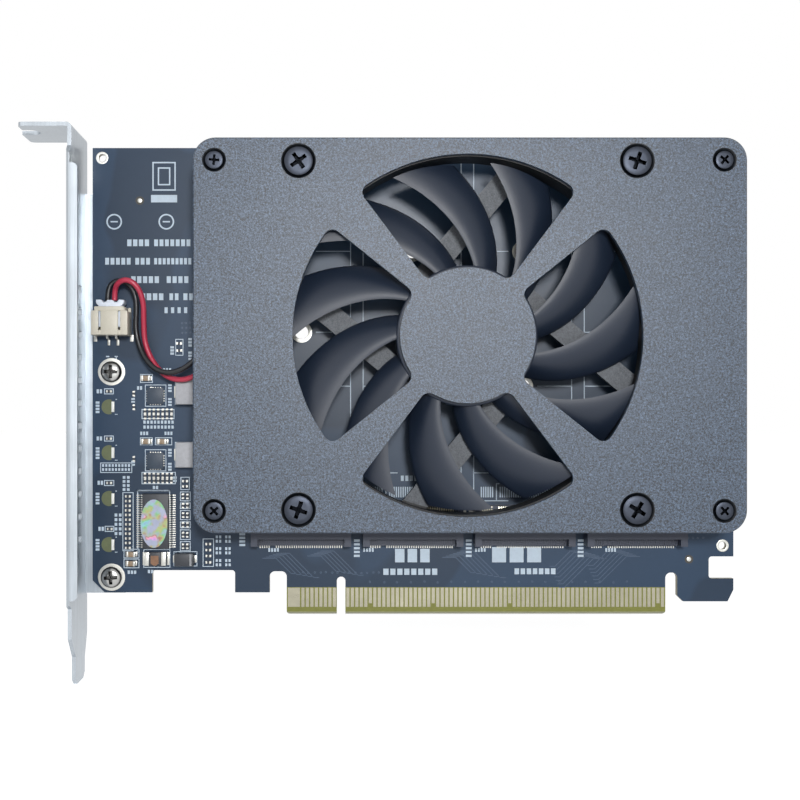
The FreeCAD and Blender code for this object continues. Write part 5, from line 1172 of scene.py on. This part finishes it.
def countersink_shade_paint(tree, tone):
    """Powder coat with painted shade: darkened near to black in the screws' countersinks."""
    x, _, z = parts_of(tree, object_place(tree))
    sink_shade = None
    for centre, (across, up), radius in ((FAN, FAN_SCREWS, 3.7), (POST_CENTRE, POSTS, 2.55)):
        off_x = (x - centre[0]).math("ABSOLUTE") - across
        off_z = (z - centre[1]).math("ABSOLUTE") - up
        near = (off_x * off_x + off_z * off_z).math("SQRT").between(-1.0, radius, 0.04)
        sink_shade = near if sink_shade is None else sink_shade.math("MAXIMUM", near)
    return shaded(tree, tone, sink_shade * -0.93 + 1.0)


def bore_shade_paint(tree, tone):
    """Textured plastic with painted shade: dark on the wall of the fan's bore."""
    x, _, z = parts_of(tree, object_place(tree))
    out = ((x - FAN.x) * (x - FAN.x) + (z - FAN.y) * (z - FAN.y)).math("SQRT")
    return shaded(tree, tone, out.between(37.6, 38.6, 0.1) * -0.92 + 1.0)


def threaded(radius, top, bottom, pitch):
    """The profile of a shank with thread ridges, from its top down to its blunt end."""
    profile, height = [], top
    while height - pitch > bottom + 0.3:
        profile += [(radius, height - pitch * 0.35), (radius - pitch * 0.3, height - pitch)]
        height -= pitch
    return profile + [(radius - 0.3, bottom), (0, bottom)]


PAN = [(0, 1.0), (0.35, 0.985), (0.62, 0.93), (0.84, 0.78), (0.96, 0.55), (1.0, 0.28), (1.0, 0.06), (0.97, 0.0)]


def pan_blank(name, head, tall, thread, long):
    shape = bmesh.new()
    profile = [(radius * head, height * tall) for radius, height in PAN]
    turned(shape, profile + [(thread, 0)] + threaded(thread, 0, -long, 0.5), segments=40)
    return master(name, shape)


def sunk_blank(name, head, thread, deep, long, dome):
    shape = bmesh.new()
    profile = [(0, dome), (head * 0.6, dome), (head * 0.86, dome * 0.9), (head * 0.95, dome * 0.55),
               (head, -0.1), (head - 0.02, -0.3), (thread + 0.05, -deep), (thread, -deep - 0.1)]
    turned(shape, profile + threaded(thread, -deep - 0.1, -long, 0.5), segments=40)
    return master(name, shape)


class CARD_OT_screws(bpy.types.Operator):
    """Cross-recessed screws of the bracket, cover, fan and standoffs"""

    bl_idname = "card.screws"
    bl_label = "Screws"

    def execute(self, context):
        black = blackened()
        # The nickel's paint adds painted shade in the recesses and on the heads' sides.
        nickel = finish("nickel_plate", (0.42, 0.42, 0.41), 0.20, 1.0, paint=crown_shade_paint, speckle=(1.2, 0.08),
                        handling=(0.14, 0.4), bump=0.06)
        posts = self.corners(POST_CENTRE, POSTS, 14.42)
        holes = self.corners(FAN, FAN_SCREWS, 14.38)
        flip = BOARD @ Matrix.Translation((0, 0, -1.57)) @ Matrix.Rotation(math.pi, 4, "X")
        rows = [
            ("bracket_screws_nickel", nickel, pan_blank("Bracket screw", 2.35, 1.35, 1.45, 3.0),
             [(*place, 0.06) for place in BRACKET_SCREWS], (3.9, 1.05, 1.35, 1.2), 5, "bracket_screws", BOARD),
            ("cover_screws_black", black, sunk_blank("Cover screw", 1.95, 1.2, 1.0, 6.0, 0.16), posts,
             (2.9, 0.7, 0.16, 0.9), 2, "cover_screws", BOARD),
            ("fan_screws_black", black, sunk_blank("Fan screw", 3.14, 2.0, 1.25, 6.4, 0.3), holes,
             (4.9, 1.15, 0.3, 1.2), 3, "fan_screws", BOARD),
            ("rear_screws_black", black, pan_blank("Rear screw", 2.2, 1.25, 1.2, 5.4),
             [(u, -v, 0.0) for u, v, _ in posts], (2.7, 0.55, 1.25, 0.8), 7, "standoff_screws", flip),
        ]
        for name, material, blank, places, (span, width, top, depth), seed, node, place in rows:
            mesh = grown("Cross-recess screws", material, dots(places), place, Blank=blank, Recess_span=span,
                         Recess_width=width, Recess_top=top, Recess_depth=depth, Seed=seed)
            keep(name, mesh, material, slot="nickel_screw" if material == nickel else "black_plated",
                 replaces=[node], smooth=35)
        return {"FINISHED"}

    def corners(self, centre, reach, height):
        """The corners of a rectangle about a centre, all at one height."""
        return [(centre[0] + u * reach[0], centre[1] + v * reach[1], height) for u in (-1, 1) for v in (-1, 1)]


# ------------------------------------------------------------ fan
class CARD_OT_fan(bpy.types.Operator):
    """The swept impeller and the finish of the fan's frame"""

    bl_idname = "card.fan"
    bl_label = "Fan"

    def execute(self, context):
        settings = context.scene.card_fan
        # The frame's plastic carries painted shade on the wall of the fan's bore.
        dress("fan_frame", finish("frame_plastic", settings.frame, 0.55, paint=bore_shade_paint, speckle=(4.0, 0.6),
                                  handling=(0.06, 0.15), bump=0.25, Specular_IOR_Level=0.4))
        glossy = finish("impeller_plastic", settings.blade, 0.44, speckle=(4.0, 0.1), handling=(0.06, 0.06),
                        bump=0.12, Specular_IOR_Level=0.45)
        hub = bmesh.new()
        face, low, wall = 12.9, 7.8, 0.8
        turned(hub, [(0, face), (settings.hub - 0.5, face), (settings.hub - 0.25, face - 0.05),
                     (settings.hub - 0.07, face - 0.2), (settings.hub, face - 0.5), (settings.hub, low),
                     (settings.hub - wall, low), (settings.hub - wall, face - 0.9), (0, face - 0.9)], segments=96)
        bmesh.ops.recalc_face_normals(hub, faces=hub.faces)
        mesh = grown("Fan blades", glossy, drawn("Hub", hub), BOARD @ Matrix.Translation(FAN), Blades=settings.blades,
                     Hub_radius=settings.hub - 0.4, Tip_radius=settings.tip, First=math.radians(73.2),
                     Sweep=settings.sweep, Spread=settings.spread, Front=12.3, Rear=8.15, Thickness=settings.thick,
                     Camber=settings.camber)
        keep("swept_impeller", mesh, glossy, body="impeller", slot="blade_plastic", replaces=["fan_impeller"],
             smooth=50)
        return {"FINISHED"}


class CARD_OT_motor(bpy.types.Operator):
    """Finishes of the pieces inside the fan's hub"""

    bl_idname = "card.motor"
    bl_label = "Fan motor"

    def execute(self, context):
        steel = finish("drawn_steel", (0.50, 0.50, 0.51), 0.35, 1.0, grain=(0.10, 4.0), handling=(0.12, 0.1),
                       bump=0.06)
        finishes = {
            "rotor_cup": steel, "motor_shaft": steel, "stator_core": steel,
            "rotor_magnet": finish("ferrite_ring", (0.045, 0.045, 0.048), 0.6, speckle=(2.4, 0.2), bump=0.2),
            "shaft_clip": finish("clip_nylon", (0.70, 0.72, 0.72), 0.4, speckle=(2.0, 0.05), bump=0.05),
            "bearing_sleeve": finish("oiled_bronze", (0.45, 0.31, 0.16), 0.35, 1.0, speckle=(2.5, 0.12), bump=0.1),
            "stator_coils": finish("enamelled_copper", (0.52, 0.22, 0.09), 0.28, 0.9, grain=(0.5, 2.5), bump=0.5),
            "motor_board": finish("green_board", (0.03, 0.11, 0.05), 0.4, speckle=(1.5, 0.06), bump=0.04),
        }
        for node, material in finishes.items():
            dress(node, material)
        return {"FINISHED"}


# ------------------------------------------------------------ sockets and chips
KEYED_RUNS = ((-9.2, 5), (-5.6, 30))


class CARD_OT_drive_sockets(bpy.types.Operator):
    """Finish of the four drive sockets, their contacts, anchor tabs and posts"""

    bl_idname = "card.drive_sockets"
    bl_label = "Drive sockets"

    def execute(self, context):
        nylon = finish("socket_nylon", (0.022, 0.030, 0.055), 0.42, speckle=(2.0, 0.12), handling=(0.08, 0.2),
                       bump=0.1)
        tin = tinned(context)
        gold = finish("gold_plating", context.scene.card_board.plating)
        for number in range(1, 5):
            dress(f"m2_socket_{number}", nylon)
        tail = bmesh.new()
        strip(tail, [((0, 1.1, 0.95), (0, 0, 0.06)), ((0, 0.55, 0.95), (0, 0, 0.06)),
                     ((0, 0.42, 0.9), (0, 0.04, 0.05)), ((0, 0.38, 0.3), (0, 0.06, 0.02)),
                     ((0, 0.3, 0.1), (0, 0.04, 0.05)), ((0, -0.3, 0.07), (0, 0, 0.06))], 0.11)
        rib = bmesh.new()
        block(rib, 0, 0.75, 0.02, 0.18, 1.45, 1.75)
        finger = bmesh.new()
        strip(finger, [((0, 0, 2.28), (0, 0, 0.05)), ((0, 2.6, 2.42), (0, 0, 0.05)), ((0, 3.4, 2.62), (0, 0, 0.05)),
                       ((0, 4.1, 2.45), (0, 0, 0.05))], 0.13)
        tails, ribs, fingers = [], [], []
        parts = [master("Contact tail", tail), master("Socket rib", rib), master("Contact finger", finger)]
        for u in SOCKETS:
            for first, count in KEYED_RUNS:
                step = (0.5, 0, 0)
                tails.append(repeated(tin, parts[0], (u + first, 15.0, 0), count, across=step))
                ribs.append(repeated(nylon, parts[1], (u + first - 0.25, 15.2, 0), count + 1, across=step))
                fingers.append(repeated(gold, parts[2], (u + first, 20.0, 0), count, across=step))
        keep("socket_contact_tails", together(tails, "tails"), tin, slot="gold", replaces=["m2_contacts"])
        keep("socket_ribs", together(ribs, "ribs"), nylon, slot="socket_plastic")
        keep("socket_contact_fingers", together(fingers, "fingers"), gold, slot="gold")
        dress("m2_anchor_tabs", tin)
        dress("m2_standoffs", finish("turned_brass", (0.62, 0.50, 0.27), 0.28, 1.0, speckle=(1.5, 0.08),
                                     handling=(0.12, 0.3), bump=0.05))
        return {"FINISHED"}


class CARD_OT_chips(bpy.types.Operator):
    """Clock chip with its gull-wing leads, regulators and power inductors"""

    bl_idname = "card.chips"
    bl_label = "Chips and inductors"

    def execute(self, context):
        epoxy = finish("moulded_epoxy", (0.028, 0.032, 0.040), 0.5, speckle=(2.2, 0.14), handling=(0.08, 0.3),
                       bump=0.16)
        tin = tinned(context)
        chip = bmesh.new()
        u, v, half, tall = -41.15, 20.7, 3.0, 6.15
        for half_body in (((0.12, 0.1), (0.55, 0)), ((0.55, 0), (1.08, 0.12))):
            skin(chip, [[chip.verts.new((u + a * (half - inset), v + b * (tall - inset), height))
                         for a, b in ((-1, -1), (1, -1), (1, 1), (-1, 1))] for height, inset in half_body])
        solid("clock_chip_body", chip, 0.05, epoxy, slot="chip_epoxy", replaces=["clock_chip"])
        lead = bmesh.new()
        strip(lead, [((0.0, 0, 0.56), (0, 0, 0.07)), ((0.3, 0, 0.56), (0, 0, 0.07)),
                     ((0.42, 0, 0.5), (0.05, 0, 0.05)), ((0.62, 0, 0.16), (0.06, 0, 0.03)),
                     ((0.75, 0, 0.09), (0.03, 0, 0.06)), ((1.4, 0, 0.07), (0, 0, 0.06))], 0.11, across=(0, -1, 0))
        part = master("Gull-wing lead", lead)
        legs = [repeated(tin, part, (u + side * 2.95, v - 5.75, 0), rows=24, up=(0, 0.5, 0), Turn=turn)
                for side, turn in ((1, 0.0), (-1, math.pi))]
        keep("clock_chip_legs", together(legs, "legs"), tin, slot="tin", replaces=["clock_chip_leads"])
        bodies, pads = bmesh.new(), bmesh.new()
        for chip_v in (48.5, 34.1):
            block(bodies, -41.3, chip_v, 0.03, 3.6, 3.6, 0.85)
            turned(bodies, [(0, 0.9), (0.16, 0.9), (0.16, 0.86), (0, 0.86)], (-42.6, chip_v + 1.3, 0), 16)
            for side in (-1, 1):
                for place in range(5):
                    along = (place - 2) * 0.55
                    block(pads, -41.3 + side * 1.8, chip_v + along, 0.005, 0.42, 0.26, 0.16)
                    block(pads, -41.3 + along, chip_v + side * 1.8, 0.005, 0.26, 0.42, 0.16)
        slate = finish("regulator_epoxy", (0.040, 0.058, 0.085), 0.45, speckle=(2.2, 0.08), handling=(0.1, 0.3),
                       bump=0.08, Specular_IOR_Level=0.35)
        solid("regulator_bodies", bodies, 0.04, slate, slot="chip_epoxy",
             replaces=["regulator_chips"])
        solid("regulator_pads", pads, 0.03, tin, slot="tin", replaces=["part_terminals"])
        powder, wings = bmesh.new(), bmesh.new()
        for v in (49.4, 35.5):
            block(powder, -33.5, v, 0.25, 6.0, 5.6, 2.75)
            for side in (-1, 1):
                block(wings, -33.5 + side * 3.1, v, 0.02, 0.9, 2.6, 0.9)
        grey = finish("pressed_ferrite", (0.42, 0.43, 0.46), 0.5, speckle=(1.6, 0.12), handling=(0.08, 0.2), bump=0.2)
        solid("inductor_bodies", powder, 0.25, grey, segments=3, slot="ferrite_grey",
             replaces=["power_inductors"])
        solid("inductor_terminals", wings, 0.06, tin, slot="tin",
             replaces=["part_terminals"])
        return {"FINISHED"}


RESISTOR_ROWS = [
    # u, v, columns, rows, step across, step up, upright
    (-43.6, 29.65, 7, 2, 0.98, 1.15, True), (-43.6, 43.95, 7, 2, 0.98, 1.12, True),
    (-47.45, 14.75, 1, 12, 0, 1.04, False), (-35.15, 15.1, 2, 1, 0.95, 0, True), (-35.15, 17.65, 2, 1, 0.95, 0, True),
    (-35.15, 19.85, 2, 1, 0.95, 0, True), (-35.15, 22.0, 2, 1, 0.95, 0, True), (-35.15, 24.1, 2, 1, 0.95, 0, True),
    (-35.15, 26.2, 2, 1, 0.95, 0, True), (-51.65, 49.55, 1, 1, 0, 0, False), (-51.65, 39.05, 1, 1, 0, 0, False),
    (-51.6, 29.15, 1, 1, 0, 0, False), (-51.5, 18.95, 1, 1, 0, 0, False), (-29.55, 11.55, 1, 4, 0, 1.35, False),
    (-34.7, 28.4, 1, 1, 0, 0, False), (-34.7, 29.6, 1, 1, 0, 0, False), (-46.1, 49.0, 1, 1, 0, 0, True),
    (-46.1, 46.0, 1, 1, 0, 0, True), (-46.1, 34.5, 1, 1, 0, 0, True), (-36.0, 58.6, 1, 2, 0, 1.6, False),
]


class CARD_OT_small_parts(bpy.types.Operator):
    """Resistors, capacitors, fuse, diode and the indicator lamps with their windows"""

    bl_idname = "card.small_parts"
    bl_label = "Small parts"

    def execute(self, context):
        tin = tinned(context)
        epoxy = finish("moulded_epoxy", (0.028, 0.032, 0.040))
        self.make_resistors(tin, epoxy)
        self.make_capacitors(tin)
        self.make_fuse_and_diode(tin, epoxy)
        self.make_lamps()
        return {"FINISHED"}

    def make_resistors(self, tin, epoxy):
        body, ends = bmesh.new(), bmesh.new()
        block(body, 0, 0, 0.04, 0.58, 0.5, 0.32)
        for side in (-1, 1):
            block(ends, side * 0.38, 0, 0.01, 0.24, 0.52, 0.36)
            block(ends, side * 0.52, 0, 0.0, 0.22, 0.5, 0.09)
        parts = {"resistor_bodies": (master("Resistor body", body), epoxy, "chip_epoxy", "chip_resistors"),
                 "resistor_ends": (master("Resistor ends", ends), tin, "tin", "part_terminals")}
        for name, (part, material, slot, node) in parts.items():
            meshes = [repeated(material, part, (u, v, 0), columns, rows, (across, 0, 0), (0, up, 0),
                               Turn=math.pi / 2 if upright else 0.0, Play=0.03, Seed=number)
                      for number, (u, v, columns, rows, across, up, upright) in enumerate(RESISTOR_ROWS)]
            keep(name, together(meshes, name), material, slot=slot, replaces=[node])

    def make_capacitors(self, tin):
        body, ends = bmesh.new(), bmesh.new()
        for u, v in ((-43.4, 52.45), (-43.35, 38.4), (-39.75, 38.4), (-46.65, 13.35), (-46.7, 11.3)):
            block(body, u, v, 0.06, 1.1, 1.15, 1.05)
            for side in (-1, 1):
                block(ends, u + side * 0.74, v, 0.03, 0.44, 1.2, 1.1)
                block(ends, u + side * 1.1, v, 0.0, 0.42, 1.1, 0.14)
        tan = finish("capacitor_ceramic", (0.30, 0.22, 0.145), 0.5, speckle=(2.0, 0.08), handling=(0.08, 0.3),
                     bump=0.08)
        solid("capacitor_bodies", body, 0.08, tan, slot="ceramic",
             replaces=["ceramic_capacitors"])
        solid("capacitor_ends", ends, 0.09, tin, slot="tin", replaces=["part_terminals"])

    def make_fuse_and_diode(self, tin, epoxy):
        fuse, patch, ends = bmesh.new(), bmesh.new(), bmesh.new()
        block(fuse, -41.3, 12.35, 0.06, 2.7, 3.0, 1.2)
        slab(patch, [(-42.2, 11.4), (-41.6, 10.9), (-41.0, 10.9), (-40.45, 11.4), (-40.45, 13.1), (-42.2, 13.1)],
             1.25, 1.29)
        for side in (-1, 1):
            block(ends, -41.25 + side * 1.85, 12.35, 0.03, 1.05, 3.0, 1.05)
            block(ends, -41.15 + side * 2.7, 12.35, 0.0, 0.6, 2.9, 0.12)
        solid("fuse_body", fuse, 0.1, epoxy, slot="fuse_body", replaces=["fuse"])
        brown = finish("fuse_element", (0.23, 0.115, 0.06), 0.45, speckle=(1.6, 0.2), handling=(0.1, 0.4), bump=0.1)
        solid("fuse_window", patch, 0, brown, slot="fuse_body")
        diode, band = bmesh.new(), bmesh.new()
        block(diode, -34.75, 12.25, 0.12, 4.3, 2.7, 2.0)
        brick(band, (-33.5, 10.95, 2.115), (-33.05, 13.55, 2.135))
        for side in (-1, 1):
            block(ends, -34.75 + side * 2.25, 12.25, 0.0, 0.8, 1.6, 0.2)
        solid("diode_body", diode, 0.14, epoxy, slot="chip_epoxy", replaces=["diode"])
        solid("diode_band", band, 0, finish("band_ink", (0.30, 0.31, 0.33), 0.5, speckle=(2, 0.1)),
             slot="chip_epoxy")
        solid("fuse_and_diode_ends", ends, 0.07, tin, slot="tin",
             replaces=["part_terminals"])

    def make_lamps(self):
        bodies, windows = bmesh.new(), bmesh.new()
        for v in LAMPS:
            block(bodies, -50.72, v, 0.02, 0.62, 2.35, 0.55)
            angles = [math.radians(-70 - step * 220 / 28) for step in range(29)]
            outline = [(-51.05, v - 1.5)]
            outline += [(-51.65 + 1.68 * math.cos(angle), v + 1.68 * math.sin(angle)) for angle in angles]
            slab(windows, list(reversed(outline)), -0.01, 0.012)
        resin = finish("lamp_resin", (0.86, 0.87, 0.83), 0.35, speckle=(2.0, 0.05), handling=(0.05, 0.3),
                       Coat_Weight=0.3)
        solid("indicator_lamps", bodies, 0.06, resin, slot="led_resin",
             replaces=["indicator_leds"])
        bare = finish("window_laminate", (0.105, 0.125, 0.055), 0.5, speckle=(1.5, 0.1), handling=(0.14, 0.4))
        solid("lamp_windows", windows, 0, bare, slot="board")


def foil_paint(tree, tone):
    """Pastel bands that drift over bare holographic foil."""
    place = object_place(tree)
    drift = noise(tree, place, 0.28, 2.0, 0.5) * 2.2 + noise(tree, place, 0.9, 1.0, 0.5) * 0.5
    hue = drift.math("FRACT")
    rainbow = add(tree, "ShaderNodeCombineColor", {0: hue, 1: 0.55, 2: hue * 0.5 + 0.45}, mode="HSV")
    pale = noise(tree, place, 0.45, 2.0, 0.5).between(0.52, 2.0, 0.12)
    return blended(tree, pale, rainbow, tone)


class CARD_OT_sticker(bpy.types.Operator):
    """The bare oval foil sticker on the clock chip"""

    bl_idname = "card.sticker"
    bl_label = "Foil sticker"

    def execute(self, context):
        foil = bmesh.new()
        u, v, wide, long = -41.5, 20.2, 2.98, 5.35
        angles = [math.tau * step / 64 for step in range(64)]
        levels = ((1.0, 1.09), (1.0, 1.135), (0.93, 1.15), (0.6, 1.16))
        skin(foil, [[foil.verts.new((u + wide * scale * math.cos(angle), v + long * scale * math.sin(angle), height))
                     for angle in angles] for scale, height in levels])
        paper = finish("holographic_foil", (0.46, 0.50, 0.66), 0.42, speckle=(1.2, 0.06), handling=(0.1, 0.3),
                       bump=0.05, paint=foil_paint, Specular_IOR_Level=0.25)
        solid("oval_foil", foil, 0, paper, slot="foil_label", replaces=["inspection_sticker"])
        return {"FINISHED"}


# ------------------------------------------------------------ panel and registration
OPERATORS = (
    CARD_OT_stage, CARD_OT_fan_header, CARD_OT_wires, CARD_OT_board, CARD_OT_board_marks, CARD_OT_copper,
    CARD_OT_bracket, CARD_OT_cover, CARD_OT_screws, CARD_OT_fan, CARD_OT_motor, CARD_OT_drive_sockets, CARD_OT_chips,
    CARD_OT_small_parts, CARD_OT_sticker,
)
SETTINGS = {
    "card_board": BoardSettings, "card_sheet": SheetSettings, "card_fan": FanSettings, "card_wires": WireSettings,
    "card_stage": StageSettings,
}


class CARD_PT_panel(bpy.types.Panel):
    """Settings and operators of the adapter card"""

    bl_idname = "CARD_PT_panel"
    bl_label = "Adapter card"
    bl_space_type = "VIEW_3D"
    bl_region_type = "UI"
    bl_category = "Adapter card"

    def draw(self, context):
        for name, kind in SETTINGS.items():
            box = self.layout.box()
            for key in kind.__annotations__:
                box.prop(getattr(context.scene, name), key)
        for operator in OPERATORS:
            self.layout.operator(operator.bl_idname)


CLASSES = tuple(SETTINGS.values()) + OPERATORS + (CARD_PT_panel,)


def register():
    for kind in CLASSES:
        bpy.utils.register_class(kind)
    for name, kind in SETTINGS.items():
        setattr(bpy.types.Scene, name, PointerProperty(type=kind))


def unregister():
    for name in SETTINGS:
        delattr(bpy.types.Scene, name)
    for kind in reversed(CLASSES):
        bpy.utils.unregister_class(kind)


def main():
    register()
    for operator in OPERATORS:
        family, name = operator.bl_idname.split(".")
        getattr(getattr(bpy.ops, family), name)()


if __name__ == "__main__":
    main()
